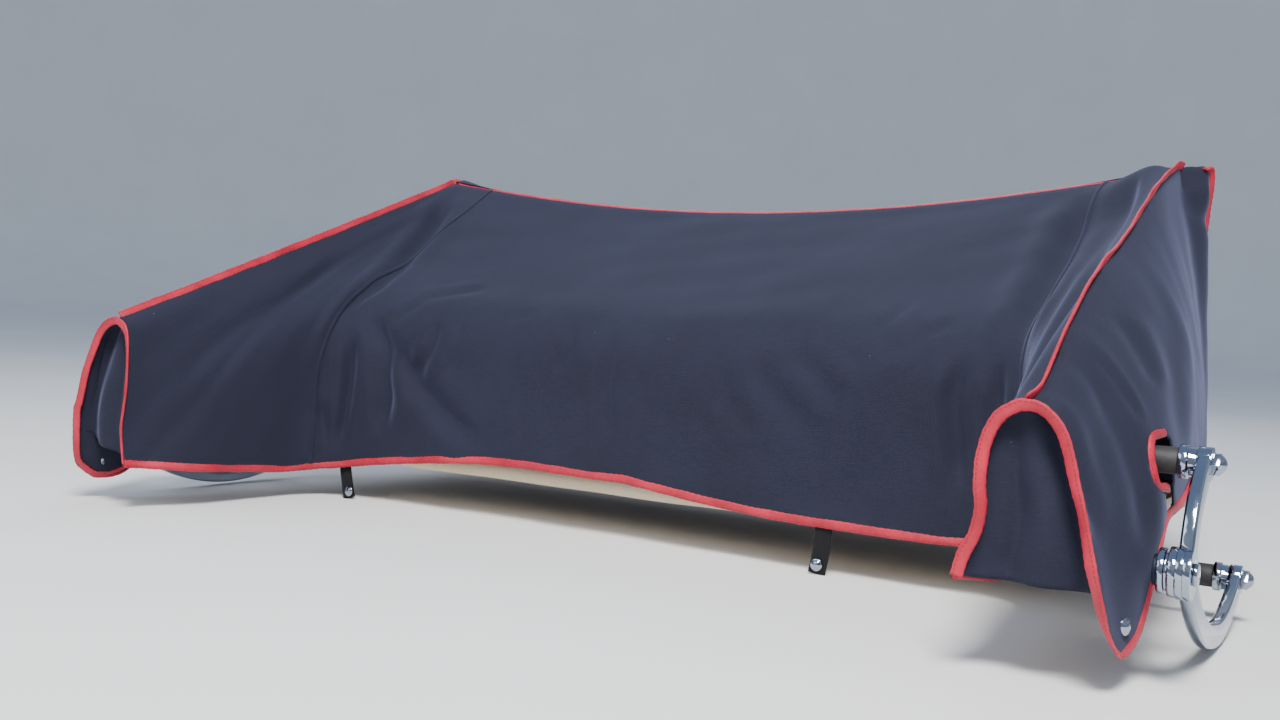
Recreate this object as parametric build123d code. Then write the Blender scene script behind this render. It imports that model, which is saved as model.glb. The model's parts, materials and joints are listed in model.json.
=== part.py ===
from build123d import *
import os
from collections import namedtuple
from math import asin, atan2, cos, degrees, hypot, radians, sin

# Folded soft top of a vintage cabriolet, under its fitted cover, with its landau irons.
# Millimetres. The car's front is -Y, its left is +X and up is +Z.
# The origin is the middle of the rear bolt line, on the underside of the ash tack rail.

# Ash tack rail, U-shaped in plan. Its middle line sets the width of everything else.
RAIL_HALF = 614.0        # centreline to the middle of each side of the rail
RAIL_WIDTH = 48.0
RAIL_HEIGHT = 22.0
RAIL_CORNER = 70.0
RAIL_BOLT_R = 3.5
RAIL_SINK_R = 7.0
RAIL_BOLT_PITCH = 300.0
RAIL_BOLTS = 4

# Main pivot, in side view, and the brackets that carry it outside the rail
PIVOT_Y = -620.0
PIVOT_Z = 60.0
PIVOT_R = 6.0
BOSS_R = 16.0
FIT = 0.05               # radial clearance of pins in their eyes
BRACKET_PLATE = 8.0
BRACKET_LENGTH = 100.0
BRACKET_FLANGE = 32.0
BRACKET_BOLT_R = 4.5
BRACKET_BOLT_PITCH = 64.0
RAIL_FRONT_Y = PIVOT_Y - 100.0

# Links and rails side by side, from the bracket inwards
LINK_GAP = 4.0
LINK_THICK = 8.0
LINK_HEIGHT = 28.0
REAR_RAIL_THICK = 10.0
FRONT_RAIL_GAP = 7.0
FRONT_RAIL_THICK = 8.0
CANTRAIL_HEIGHT = 26.0
HINGE_R = 5.0
RIVET_HEAD_R = 10.0
RIVET_HEAD = 4.0
LINK_X = RAIL_HALF + RAIL_WIDTH / 2 - LINK_GAP - LINK_THICK
REAR_RAIL_X = LINK_X - LINK_GAP - REAR_RAIL_THICK
FRONT_RAIL_X = REAR_RAIL_X - FRONT_RAIL_GAP - FRONT_RAIL_THICK

# Cover, outside sizes taken over the cloth. Its bound ridges lie over the front cantrails.
PEAK_HALF = FRONT_RAIL_X + FRONT_RAIL_THICK
PEAK_Y = -90.0           # bound line across the back of the top
PEAK_Z = 432.0
TOP_SAG = 57.0           # how far that line hangs in the middle
APEX_Y = PIVOT_Y - 140.0  # front end of each arm
APEX_Z = 157.0
SHOULDER_Y = -430.0      # front face of the stack
SHOULDER_Z = 200.0
VALLEY_HALF = PEAK_HALF - 84.0   # where the front face meets the arms
VALLEY_RISE = 6.0
BACK_Y = RAIL_WIDTH / 2 + 11.0   # foot of the back panel
BACK_Z = 95.0            # above this the back panel leans forward
BACK_RISE = 8.0          # how much higher that line is at its corners
CLOTH = 3.0              # doubled cloth of the cover
FOOT_Z = -80.0           # level below every hem, before the hems are cut
FRONT_HEM_Z = -30.0
BACK_HEM_Z = -5.0
GUSSET_HEM_Z = -15.0
SOFT_GAP = 0.3           # cloth to the piece that carries it

# Hinges of the folded frame, in side view, kept inside the cover's outline
UPPER_STUD = (PIVOT_Y + 20.0, PIVOT_Z + 40.0)
REAR_HINGE = (PEAK_Y - 60.0, PEAK_Z - 197.0)
FRONT_HINGE = (SHOULDER_Y - 10.0, SHOULDER_Z - 50.0)
FRONT_RAIL_TOP = (PEAK_Y - 34.0, PEAK_Z - 60.0)

# Sections of the cover across the car, from a bound edge outwards and down to the hem, or, in an
# arm, also inwards. x is distance out from the ridge line, drop is distance below the edge.
Side = namedtuple("Side", "edge shoulder_x shoulder_drop hip_x hip_drop knee_x knee_drop foot")
Arm = namedtuple("Arm", "y side cheek_x cheek_drop fold_x fold_z inner_foot")
SIDE_AT_BACK = Side(58.0, 63.0, 20.0, 66.0, 50.0, 67.0, 80.0, 67.0)
SIDE_AT_HAUNCH = Side(51.0, 61.0, 30.0, 68.0, 75.0, 71.0, 125.0, 69.0)
SIDE_AT_SWELL = Side(29.0, 45.0, 35.0, 66.0, 100.0, 80.0, 175.0, 78.0)
SIDE_AT_CREST = Side(27.0, 38.0, 42.0, 66.0, 115.0, 82.0, 185.0, 86.0)
SIDE_AT_PEAK = Side(0.0, 36.0, 47.0, 66.0, 110.0, 84.0, 190.0, 93.0)
SIDE_AT_SHOULDER = Side(0.0, 34.0, 42.0, 66.0, 92.0, 88.0, 150.0, 95.0)
SIDE_AT_STUD = Side(3.0, 31.0, 26.0, 64.0, 76.0, 86.0, 128.0, 94.0)
SIDE_AT_APEX = Side(6.0, 34.0, 20.0, 54.0, 56.0, 67.0, 95.0, 84.0)
ARM_SECTIONS = (
    Arm(SHOULDER_Y, SIDE_AT_SHOULDER, -22.0, 24.0, VALLEY_HALF - PEAK_HALF, SHOULDER_Z + VALLEY_RISE, -46.0),
    Arm(UPPER_STUD[0], SIDE_AT_STUD, -18.0, 30.0, -50.0, 110.0, -47.0),
    Arm(APEX_Y, SIDE_AT_APEX, -17.0, 18.0, -25.0, 95.0, -36.0),
)
# Sections of the back panel's swell, with the height of its cloth at the corners and in the middle.
# fold is how far the cloth drops in each hanging fold of the back, and rises between two of them.
Swell = namedtuple("Swell", "y edge_z middle_z side fold")
SWELLS = (
    Swell(BACK_Y - 80.0, 406.0, 346.0, SIDE_AT_CREST, 3.0),
    Swell(BACK_Y - 47.0, 300.0, 288.0, SIDE_AT_SWELL, 10.0),
    Swell(BACK_Y - 17.0, 168.0, 196.0, SIDE_AT_HAUNCH, 18.0),
)
BACK_FOLDS = 6           # hanging folds across the back panel

# Soft pleats of the side panels: y, and how far the cloth stands out there or, below 0, falls in
PLEATS = (
    (PEAK_Y - 250.0, -6.0),
    (PEAK_Y - 185.0, 4.0),
    (PEAK_Y - 120.0, -5.0),
    (PEAK_Y - 62.0, 3.0),
)
ARM_LAP = 2.0            # the hollow's stack and arm sections overlap by this

# Header board on the front rails, lying upside down when folded
HEADER_WIDTH = 56.0
HEADER_THICK = 22.0
HEADER_INSET = 4.0       # back edge of the board to the cloth of the back panel
HEADER_FALL = 0.70       # how steeply it lies, drop for each unit forward

# Ash bows. Reach is from the cover's bound line to the bend, gap from the iron to the main link.
Bow = namedtuple("Bow", "name angle reach gap")
BOWS = (
    Bow("bow_front", 27.0, -90.0, 34.0),
    Bow("bow_middle", 16.0, -52.0, 16.0),
    Bow("bow_rear", 6.0, 15.0, 6.0),
)
BOW_THICK = 22.0
BOW_HEIGHT = 28.0
BOW_BEND = 80.0
BOW_CROWN = 35.0
CROWN_R = 5000.0
BOW_LEG = 150.0
IRON_THICK = 6.0
IRON_HEIGHT = 22.0
IRON_LAP = 70.0

# Folded cloth under the cover
CLOTH_HALF = FRONT_RAIL_X - 52.0
CLOTH_FRONT_Y = SHOULDER_Y + 16.0   # leaves room for the straps' inner ends
CLOTH_FOOT_Z = -6.0
CLOTH_BACK_Y = -262.0
CLOTH_TOP_Y = PEAK_Y - 82.0
FOLDS = 4
FOLD_BULGE = 5.0
LINING_HEIGHT = 30.0
LINING_DEPTH = 130.0
LINING_HALF = CLOTH_HALF - 45.0
CURTAIN_HEIGHT = 62.0
CURTAIN_DEPTH = 74.0
CURTAIN_HALF = CLOTH_HALF - 5.0
CURTAIN_INSET = 6.0      # back of the roll to the back of the rail
ROLL_ROUND = 0.45        # edge radius of a roll as a share of its height

# Landau irons, outside the cover. Studs and knuckle are in side view.
KNUCKLE = (UPPER_STUD[0] - 70.0, UPPER_STUD[1] - 90.0)
LOWER_STUD = (UPPER_STUD[0] + 270.0, UPPER_STUD[1] - 144.0)
IRON_CLEAR = 25.0        # widest part of the cover to the arms
IRON_IN_X = PEAK_HALF + SIDE_AT_STUD.foot + IRON_CLEAR
ARM_THICK = 12.0
ARM_WIDTH = 24.0
ARM_EDGE = 2.0           # bevel of the arms' edges
EYE_R = 15.0
KNUCKLE_R = 23.0
UPPER_BOW = 16.0         # how far the upper arm bends forward of a straight line
LOWER_BOW = 58.0         # how far the lower arm hangs below a straight line
STUD_R = 6.0
SPACER_R = 12.5
WASHER_R = 15.5
WASHER_STEP = 2.0        # the inner washer is wider than the outer one by this
WASHER_STACK = 16.0
NUT_R = 11.0
NUT_LENGTH = 12.0
NUT_HEX = 6.6            # height of the hexagon under the dome
NUT_DOME_R = 9.0
STUD_IN_NUT = 8.4
BODY_SIDE_X = PEAK_HALF + 85.0   # face of the body's side at the lower stud
STUD_IN_BODY = 42.0
HUB_DEPTH = 20.0
Disc = namedtuple("Disc", "start end radius")
DISCS = (
    Disc(0.0, 7.0, 22.0),
    Disc(7.0, 10.0, 17.0),
    Disc(10.0, 16.0, 20.0),
    Disc(16.0, HUB_DEPTH, 14.0),
)

# Openings and hems of the cover's side panels: y, z of the hem from the front to the back
SLOT_HALF = 19.0
SIDE_HEM = (
    (APEX_Y + CLOTH, -15.0),
    (APEX_Y + 8.0, -46.0),
    (APEX_Y + 32.0, -56.0),
    (APEX_Y + 56.0, -44.0),
    (APEX_Y + 66.0, -12.0),
    (UPPER_STUD[0] - 40.0, -5.0),
    (UPPER_STUD[0] + 28.0, 5.0),
    (UPPER_STUD[0] + 44.0, 45.0),
    (SHOULDER_Y + 60.0, 72.0),
    (PEAK_Y + 30.0, 40.0),
    (BACK_Y, BACK_HEM_Z),
)
STRAP_X = (-505.0, 288.0)
STRAP_WIDTH = 22.0
STRAP_THICK = 2.0
STRAP_DROP = 62.0
STRAP_LAP = 20.0
SNAP_R = 7.0
SNAP_THICK = 4.0
BEYOND = 10.0            # how far cutting tools run past what they cut

os.makedirs("parts", exist_ok=True)


def ridge_z(y):
    """Height of the bound ridge, which is straight from the apex to the peak."""
    return APEX_Z + (PEAK_Z - APEX_Z) * (y - APEX_Y) / (PEAK_Y - APEX_Y)


def sag_z(x):
    """Height of the cloth at the bound line across the back of the top."""
    return PEAK_Z - TOP_SAG + TOP_SAG * (x / PEAK_HALF) ** 2


def inset(points, depth):
    """Moves each side of an open outline inwards by depth, and meets the sides again."""
    moved = []
    for (ax, az), (bx, bz) in zip(points, points[1:]):
        run = hypot(bx - ax, bz - az)
        nx, nz = (bz - az) / run * depth, -(bx - ax) / run * depth
        moved.append(((ax + nx, az + nz), (bx + nx, bz + nz)))
    out = [moved[0][0]]
    for (a, b), (c, d) in zip(moved, moved[1:]):
        ux, uz = b[0] - a[0], b[1] - a[1]
        vx, vz = d[0] - c[0], d[1] - c[1]
        cross = ux * vz - uz * vx
        t = ((c[0] - a[0]) * vz - (c[1] - a[1]) * vx) / cross
        out.append((a[0] + t * ux, a[1] + t * uz))
    out.append(moved[-1][1])
    return out


def across(y):
    """Plane of a section across the car at y, with X to the left and Y up."""
    return Plane(origin=(0, y, 0), x_dir=(1, 0, 0), z_dir=(0, -1, 0))


def outer_side(side, edge_z):
    """Points of a section from the bound edge out and down to the hem."""
    return [
        (PEAK_HALF + side.edge, edge_z),
        (PEAK_HALF + side.shoulder_x, edge_z - side.shoulder_drop),
        (PEAK_HALF + side.hip_x, edge_z - side.hip_drop),
        (PEAK_HALF + side.knee_x, edge_z - side.knee_drop),
        (PEAK_HALF + side.foot, FOOT_Z),
    ]


def top_line(valley_z, middle_z, fold):
    """Points across the top of a section, which sags to its middle and has hanging folds."""
    count = 2 * BACK_FOLDS
    points = []
    for i in range(count + 1):
        x = VALLEY_HALF * (2 * i / count - 1)
        wave = fold * cos(radians(180 * i)) if 0 < i < count else 0.0
        points.append((x, middle_z + (valley_z - middle_z) * (x / VALLEY_HALF) ** 2 + wave))
    return points


def stack_section(y, edge_z, valley_z, middle_z, side, depth, fold=0.0):
    """Closed section of the stack at y, drawn over the cloth and set in by depth."""
    left = [(-x, z) for x, z in outer_side(side, edge_z)[::-1]]
    outline = [*left, *top_line(valley_z, middle_z, fold), *outer_side(side, edge_z)]
    with BuildSketch(across(y)) as sketch:
        with BuildLine():
            Polyline(*inset(outline, depth), close=True)
        make_face()
    return sketch.sketch


def pleated_side(y, wave):
    """Side of the stack between shoulder and peak, moved out or in by a pleat."""
    k = (y - SHOULDER_Y) / (PEAK_Y - SHOULDER_Y)
    row = [a + (b - a) * k for a, b in zip(SIDE_AT_SHOULDER, SIDE_AT_PEAK)]
    side = Side(*row)
    return side._replace(hip_x=side.hip_x + wave, knee_x=side.knee_x + wave)


def pleat_section(y, wave, depth):
    """Section of the stack at one pleat of the sides."""
    k = (y - SHOULDER_Y) / (PEAK_Y - SHOULDER_Y)
    valley = SHOULDER_Z + VALLEY_RISE + (sag_z(VALLEY_HALF) - SHOULDER_Z - VALLEY_RISE) * k
    middle = SHOULDER_Z + (sag_z(0) - SHOULDER_Z) * k
    return stack_section(y, ridge_z(y), valley, middle, pleated_side(y, wave), depth)


def arm_section(arm, y, side, depth):
    """Closed section of one arm at y, from the inner hem over the ridge to the outer hem."""
    outline = [
        (PEAK_HALF + arm.inner_foot, FOOT_Z),
        (PEAK_HALF + arm.fold_x, arm.fold_z),
        (PEAK_HALF + arm.cheek_x, ridge_z(arm.y) - arm.cheek_drop),
        *outer_side(arm.side, ridge_z(arm.y)),
    ]
    with BuildSketch(across(y)) as sketch:
        with BuildLine():
            Polyline(*[(side * x, z) for x, z in inset(outline, depth)], close=True)
        make_face()
    return sketch.sketch


def envelope(depth):
    """Solids under the cover, set in by depth from its outside: the stack and both arms."""
    stack = [
        stack_section(SHOULDER_Y + depth, ridge_z(SHOULDER_Y), SHOULDER_Z + VALLEY_RISE, SHOULDER_Z,
                      SIDE_AT_SHOULDER, depth),
        *[pleat_section(y, wave, depth) for y, wave in PLEATS],
        stack_section(PEAK_Y - depth, PEAK_Z, sag_z(VALLEY_HALF), sag_z(0), SIDE_AT_PEAK, depth),
        *[stack_section(row.y - depth, row.edge_z, (row.edge_z + row.middle_z) / 2, row.middle_z, row.side,
                        depth, row.fold) for row in SWELLS],
        stack_section(BACK_Y - depth, BACK_Z + BACK_RISE, BACK_Z + BACK_RISE / 2, BACK_Z, SIDE_AT_BACK, depth),
    ]
    solids = [loft(stack, ruled=True)]
    lap = ARM_LAP if depth else 0.0
    for side in (-1, 1):
        rear, stud, front = ARM_SECTIONS
        solids.append(loft([
            arm_section(rear, rear.y + depth + lap, side, depth),
            arm_section(stud, stud.y, side, depth),
            arm_section(front, front.y + depth, side, depth),
        ], ruled=True))
    return solids


def slab(x, y, z):
    """Box between two limits on each axis."""
    size = [high - low for low, high in (x, y, z)]
    middle = [(low + high) / 2 for low, high in (x, y, z)]
    return Pos(*middle) * Box(*size)


def side_profile(points, x0, x1):
    """Solid between x0 and x1 with a closed outline of y, z points."""
    plane = Plane(origin=(x0, 0, 0), x_dir=(0, 1, 0), z_dir=(1, 0, 0))
    with BuildSketch(plane) as sketch:
        with BuildLine():
            Polyline(*points, close=True)
        make_face()
    return extrude(sketch.sketch, amount=x1 - x0)


def rod(x0, x1, centre, radius):
    """Cylinder along X between x0 and x1 with its axis at centre, given as y, z."""
    plane = Plane(origin=(x0, centre[0], centre[1]), x_dir=(0, 1, 0), z_dir=(1, 0, 0))
    return extrude(plane * Circle(radius), amount=x1 - x0)


def domed_cap(x0, centre, radius, height):
    """Cap of a sphere that stands on the plane at x0, with its axis along X."""
    ball = (radius ** 2 + height ** 2) / (2 * height)
    half = asin(radius / ball) / 2
    middle = (height - ball + ball * cos(half), ball * sin(half))
    with BuildSketch(Plane(origin=(x0, *centre), x_dir=(1, 0, 0), z_dir=(0, -1, 0))) as sketch:
        with BuildLine():
            ThreePointArc((height, 0), middle, (0, radius))
            Polyline((0, radius), (0, 0), (height, 0))
        make_face()
    return revolve(sketch.sketch, Axis((x0, *centre), (1, 0, 0)))


def bar(x0, x1, start, end, height):
    """Flat bar with round ends between two eyes, given as y, z."""
    plane = Plane(origin=(x0, 0, 0), x_dir=(0, 1, 0), z_dir=(1, 0, 0))
    middle = ((start[0] + end[0]) / 2, (start[1] + end[1]) / 2)
    turn = degrees(atan2(end[1] - start[1], end[0] - start[0]))
    run = hypot(end[0] - start[0], end[1] - start[1])
    shape = plane * Pos(*middle) * Rot(0, 0, turn) * SlotCenterToCenter(run, height)
    return extrude(shape, amount=x1 - x0)


def mirror_x(solid):
    """The same piece on the other side of the car."""
    return mirror(solid, about=Plane.YZ)


def write(name, solid):
    export_step(solid, "parts/" + name + ".step")


def write_pair(name, solid):
    """Writes the left piece as modelled and the right one mirrored."""
    write(name + "_left", solid)
    write(name + "_right", mirror_x(solid))


def tack_rail():
    """Ash rail, U-shaped in plan, with countersunk bolt holes along its back and sides."""
    level = RAIL_HEIGHT / 2
    corners = [(-RAIL_HALF, RAIL_FRONT_Y), (-RAIL_HALF, 0), (RAIL_HALF, 0), (RAIL_HALF, RAIL_FRONT_Y)]
    with BuildPart() as part:
        with BuildLine():
            path = FilletPolyline(*[(x, y, level) for x, y in corners], radius=RAIL_CORNER)
        with BuildSketch(Plane(origin=path @ 0, x_dir=(1, 0, 0), z_dir=path % 0)):
            Rectangle(RAIL_WIDTH, RAIL_HEIGHT)
        sweep()
    rail = part.part
    holes = [((i - (RAIL_BOLTS - 1) / 2) * RAIL_BOLT_PITCH, 0.0) for i in range(RAIL_BOLTS)]
    holes += [(side * RAIL_HALF, -RAIL_BOLT_PITCH * step) for side in (-1, 1) for step in (0.5, 1.5)]
    for x, y in holes:
        rail -= Pos(x, y, level) * Cylinder(RAIL_BOLT_R, RAIL_HEIGHT + 2)
        sink = RAIL_SINK_R - RAIL_BOLT_R
        rail -= Pos(x, y, RAIL_HEIGHT - sink / 2) * Cone(RAIL_BOLT_R, RAIL_SINK_R, sink)
    return rail


def pivot_bracket():
    """Upright plate with a boss for the main pivot, on a bolted foot beside the rail."""
    x0 = RAIL_HALF + RAIL_WIDTH / 2
    x1 = x0 + BRACKET_PLATE
    half = BRACKET_LENGTH / 2
    foot = slab((x0, x0 + BRACKET_FLANGE), (PIVOT_Y - half, PIVOT_Y + half), (0, BRACKET_PLATE))
    plate = side_profile([(PIVOT_Y - half, 0), (PIVOT_Y + half, 0), (PIVOT_Y + BOSS_R, PIVOT_Z),
                          (PIVOT_Y - BOSS_R, PIVOT_Z)], x0, x1)
    bracket = foot + plate + rod(x0, x1, (PIVOT_Y, PIVOT_Z), BOSS_R)
    bracket -= rod(x0 - 1, x1 + 1, (PIVOT_Y, PIVOT_Z), PIVOT_R + FIT)
    hole_x = x0 + BRACKET_PLATE + (BRACKET_FLANGE - BRACKET_PLATE) / 2
    for y in (PIVOT_Y - BRACKET_BOLT_PITCH / 2, PIVOT_Y + BRACKET_BOLT_PITCH / 2):
        bracket -= Pos(hole_x, y, BRACKET_PLATE / 2) * Cylinder(BRACKET_BOLT_R, BRACKET_PLATE + 2)
    return bracket


def pivot_pin():
    """Main pivot: one pin through the bracket, the link and the three bow irons."""
    inner = LINK_X - max(row.gap for row in BOWS) - IRON_THICK - 1
    outer = RAIL_HALF + RAIL_WIDTH / 2 + BRACKET_PLATE
    centre = (PIVOT_Y, PIVOT_Z)
    pin = rod(inner - RIVET_HEAD, outer + RIVET_HEAD, centre, PIVOT_R)
    pin += rod(inner - RIVET_HEAD, inner, centre, RIVET_HEAD_R)
    return pin + rod(outer, outer + RIVET_HEAD, centre, RIVET_HEAD_R)


def main_link():
    """Pillar link from the main pivot to the rear hinge, with a lug for the landau stud."""
    x1 = LINK_X + LINK_THICK
    link = bar(LINK_X, x1, (PIVOT_Y, PIVOT_Z), REAR_HINGE, LINK_HEIGHT)
    link += bar(LINK_X, x1, (PIVOT_Y, PIVOT_Z), UPPER_STUD, LINK_HEIGHT)
    link -= rod(LINK_X - 1, x1 + 1, (PIVOT_Y, PIVOT_Z), PIVOT_R + FIT)
    link -= rod(LINK_X - 1, x1 + 1, UPPER_STUD, STUD_R + FIT)
    return link - rod(LINK_X - 1, x1 + 1, REAR_HINGE, HINGE_R + FIT)


def rear_cantrail():
    x1 = REAR_RAIL_X + REAR_RAIL_THICK
    rail = bar(REAR_RAIL_X, x1, FRONT_HINGE, REAR_HINGE, CANTRAIL_HEIGHT)
    for hinge in (FRONT_HINGE, REAR_HINGE):
        rail -= rod(REAR_RAIL_X - 1, x1 + 1, hinge, HINGE_R + FIT)
    return rail


def front_cantrail():
    x1 = FRONT_RAIL_X + FRONT_RAIL_THICK
    rail = bar(FRONT_RAIL_X, x1, FRONT_HINGE, FRONT_RAIL_TOP, CANTRAIL_HEIGHT)
    return rail - rod(FRONT_RAIL_X - 1, x1 + 1, FRONT_HINGE, HINGE_R + FIT)


def hinge_pins():
    """Headed pins of the two cantrail hinges, with a spacer between the rails."""
    end = REAR_RAIL_X + REAR_RAIL_THICK
    front = rod(FRONT_RAIL_X - RIVET_HEAD, end + RIVET_HEAD, FRONT_HINGE, HINGE_R)
    front += rod(FRONT_RAIL_X - RIVET_HEAD, FRONT_RAIL_X, FRONT_HINGE, RIVET_HEAD_R)
    rear = rod(REAR_RAIL_X - RIVET_HEAD, LINK_X + LINK_THICK + RIVET_HEAD, REAR_HINGE, HINGE_R)
    rear += rod(REAR_RAIL_X - RIVET_HEAD, REAR_RAIL_X, REAR_HINGE, RIVET_HEAD_R)
    rear += rod(end, LINK_X, REAR_HINGE, RIVET_HEAD_R)
    return Compound([front, rear])


def header_board():
    """Curved ash board across the front edge of the roof, folded upside down to the top."""
    half = FRONT_RAIL_X
    cloth_fall = (sag_z(VALLEY_HALF) - SHOULDER_Z - VALLEY_RISE) / (PEAK_Y - SHOULDER_Y)
    drop = CLOTH + SOFT_GAP + HEADER_INSET * cloth_fall
    top = [(x, sag_z(x) - drop) for x in (-half, 0, half)]
    low = [(x, z - HEADER_THICK) for x, z in top]
    with BuildSketch(across(PEAK_Y - CLOTH - HEADER_INSET)) as sketch:
        with BuildLine():
            ThreePointArc(*top)
            Line(top[2], low[2])
            ThreePointArc(*low[::-1])
            Line(low[0], top[0])
        make_face()
    length = HEADER_WIDTH * hypot(1, HEADER_FALL)
    return extrude(sketch.sketch, amount=length, dir=(0, -1, -HEADER_FALL))


def iron_x(row):
    """Inner face of a bow's iron legs."""
    return LINK_X - row.gap - IRON_THICK


def bow(row):
    """Steamed ash bow in its folded plane, with a crowned middle and bent ends."""
    angle, reach = row.angle, PEAK_Y - PIVOT_Y + row.reach
    c, s = cos(radians(angle)), sin(radians(angle))
    plane = Plane(origin=(0, PIVOT_Y, PIVOT_Z), x_dir=(1, 0, 0), z_dir=(0, -s, c))
    leg_x = iron_x(row) - BOW_THICK / 2
    corners = [(-leg_x, reach - BOW_LEG), (-leg_x, reach), (0, reach + BOW_CROWN), (leg_x, reach),
               (leg_x, reach - BOW_LEG)]
    points = [plane.from_local_coords(Vector(x, r, 0)) for x, r in corners]
    with BuildPart() as part:
        with BuildLine():
            path = FilletPolyline(*points, radius=[BOW_BEND, CROWN_R, BOW_BEND])
        with BuildSketch(Plane(origin=path @ 0, x_dir=(1, 0, 0), z_dir=path % 0)):
            RectangleRounded(BOW_THICK, BOW_HEIGHT, BOW_THICK / 4)
        sweep()
    return part.part


def bow_iron(row):
    """Flat steel leg from the main pivot to the outside of its bow."""
    c, s = cos(radians(row.angle)), sin(radians(row.angle))
    end = PEAK_Y - PIVOT_Y + row.reach - BOW_LEG + IRON_LAP
    x0 = iron_x(row)
    tip = (PIVOT_Y + end * c, PIVOT_Z + end * s)
    iron = bar(x0, x0 + IRON_THICK, (PIVOT_Y, PIVOT_Z), tip, IRON_HEIGHT)
    return iron - rod(x0 - 1, x0 + IRON_THICK + 1, (PIVOT_Y, PIVOT_Z), PIVOT_R + FIT)


def folded_roof_cloth():
    """Black roof cloth in flat folds ahead of the bows, with its last layer over the front bow."""
    fall = (PEAK_Z - TOP_SAG - SHOULDER_Z) / (PEAK_Y - SHOULDER_Y)
    cover_z = SHOULDER_Z - CLOTH - 2 * SOFT_GAP
    shoulder = (CLOTH_FRONT_Y, cover_z)
    top_back = (CLOTH_TOP_Y, cover_z + fall * (CLOTH_TOP_Y - SHOULDER_Y - CLOTH))
    angle = radians(BOWS[0][1])
    over_bow = BOW_HEIGHT / 2 / cos(angle) + SOFT_GAP
    under = [(y, PIVOT_Z + (y - PIVOT_Y) * sin(angle) / cos(angle) + over_bow)
             for y in (CLOTH_TOP_Y, CLOTH_BACK_Y)]
    step = (shoulder[1] - CLOTH_FOOT_Z) / FOLDS
    plane = Plane(origin=(-CLOTH_HALF, 0, 0), x_dir=(0, 1, 0), z_dir=(1, 0, 0))
    with BuildSketch(plane) as sketch:
        with BuildLine():
            foot = (CLOTH_FRONT_Y, CLOTH_FOOT_Z)
            Polyline(shoulder, top_back, *under, (CLOTH_BACK_Y, CLOTH_FOOT_Z), foot)
            for i in range(FOLDS):
                z = CLOTH_FOOT_Z + i * step
                bulge = (CLOTH_FRONT_Y - FOLD_BULGE, z + step / 2)
                ThreePointArc((CLOTH_FRONT_Y, z), bulge, (CLOTH_FRONT_Y, z + step))
        make_face()
    return extrude(sketch.sketch, amount=2 * CLOTH_HALF)


def rounded_roll(half, y0, y1, z0, z1):
    """Roll of cloth lying across the car, with rounded edges all round."""
    plane = Plane(origin=(-half, 0, 0), x_dir=(0, 1, 0), z_dir=(1, 0, 0))
    height = z1 - z0
    outline = RectangleRounded(y1 - y0, height, height * ROLL_ROUND)
    shape = plane * Pos((y0 + y1) / 2, (z0 + z1) / 2) * outline
    return extrude(shape, amount=2 * half)


def folded_headlining():
    top = CLOTH_FOOT_Z - SOFT_GAP
    return rounded_roll(LINING_HALF, CLOTH_FRONT_Y, CLOTH_FRONT_Y + LINING_DEPTH, top - LINING_HEIGHT, top)


def folded_back_curtain():
    foot = RAIL_HEIGHT + SOFT_GAP
    back = RAIL_WIDTH / 2 - CURTAIN_INSET
    return rounded_roll(CURTAIN_HALF, back - CURTAIN_DEPTH, back, foot, foot + CURTAIN_HEIGHT)


def curved_arm(start, end, sagitta, towards):
    """Bevelled arm of even width along an arc between two eyes, bent towards a y, z direction."""
    middle = tuple((a + b) / 2 + t * sagitta for a, b, t in zip(start, end, towards))
    plane = Plane(origin=(IRON_IN_X, 0, 0), x_dir=(0, 1, 0), z_dir=(1, 0, 0))
    with BuildSketch(plane) as sketch:
        with BuildLine(mode=Mode.PRIVATE) as line:
            ThreePointArc(start, middle, end)
        SlotArc(line.edge(), ARM_WIDTH)
    arm = extrude(sketch.sketch, amount=ARM_THICK)
    flats = arm.faces().sort_by(Axis.X)
    arm = chamfer(flats[0].edges() + flats[-1].edges(), ARM_EDGE)
    for eye in (start, end):
        arm += rod(IRON_IN_X, IRON_IN_X + ARM_THICK, eye, EYE_R)
    return arm


def landau_arms():
    """Upper and lower arm, halved into each other at the knuckle like a folding rule."""
    x1 = IRON_IN_X + ARM_THICK
    half_x = IRON_IN_X + ARM_THICK / 2
    run = hypot(KNUCKLE[0] - UPPER_STUD[0], KNUCKLE[1] - UPPER_STUD[1])
    forward = ((KNUCKLE[1] - UPPER_STUD[1]) / run, -(KNUCKLE[0] - UPPER_STUD[0]) / run)
    upper = curved_arm(UPPER_STUD, KNUCKLE, UPPER_BOW, forward)
    upper -= rod(IRON_IN_X - 1, half_x, KNUCKLE, KNUCKLE_R + SOFT_GAP)
    upper += rod(half_x, x1, KNUCKLE, KNUCKLE_R)
    lower = curved_arm(KNUCKLE, LOWER_STUD, LOWER_BOW, (0, -1))
    lower -= rod(half_x, x1 + 1, KNUCKLE, KNUCKLE_R + SOFT_GAP)
    lower += rod(IRON_IN_X, half_x, KNUCKLE, KNUCKLE_R)
    for eye in (UPPER_STUD, KNUCKLE):
        upper -= rod(IRON_IN_X - 1, x1 + 1, eye, STUD_R + FIT)
    for eye in (KNUCKLE, LOWER_STUD):
        lower -= rod(IRON_IN_X - 1, x1 + 1, eye, STUD_R + FIT)
    return upper, lower


def landau_knuckle():
    """Rivet of the knuckle with its stack of turned discs on the inner side."""
    x1 = IRON_IN_X + ARM_THICK
    knuckle = rod(IRON_IN_X - HUB_DEPTH, x1 + RIVET_HEAD, KNUCKLE, STUD_R)
    for disc in DISCS:
        knuckle += rod(IRON_IN_X - disc.end, IRON_IN_X - disc.start, KNUCKLE, disc.radius)
    return knuckle + rod(x1, x1 + RIVET_HEAD, KNUCKLE, RIVET_HEAD_R)


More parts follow.
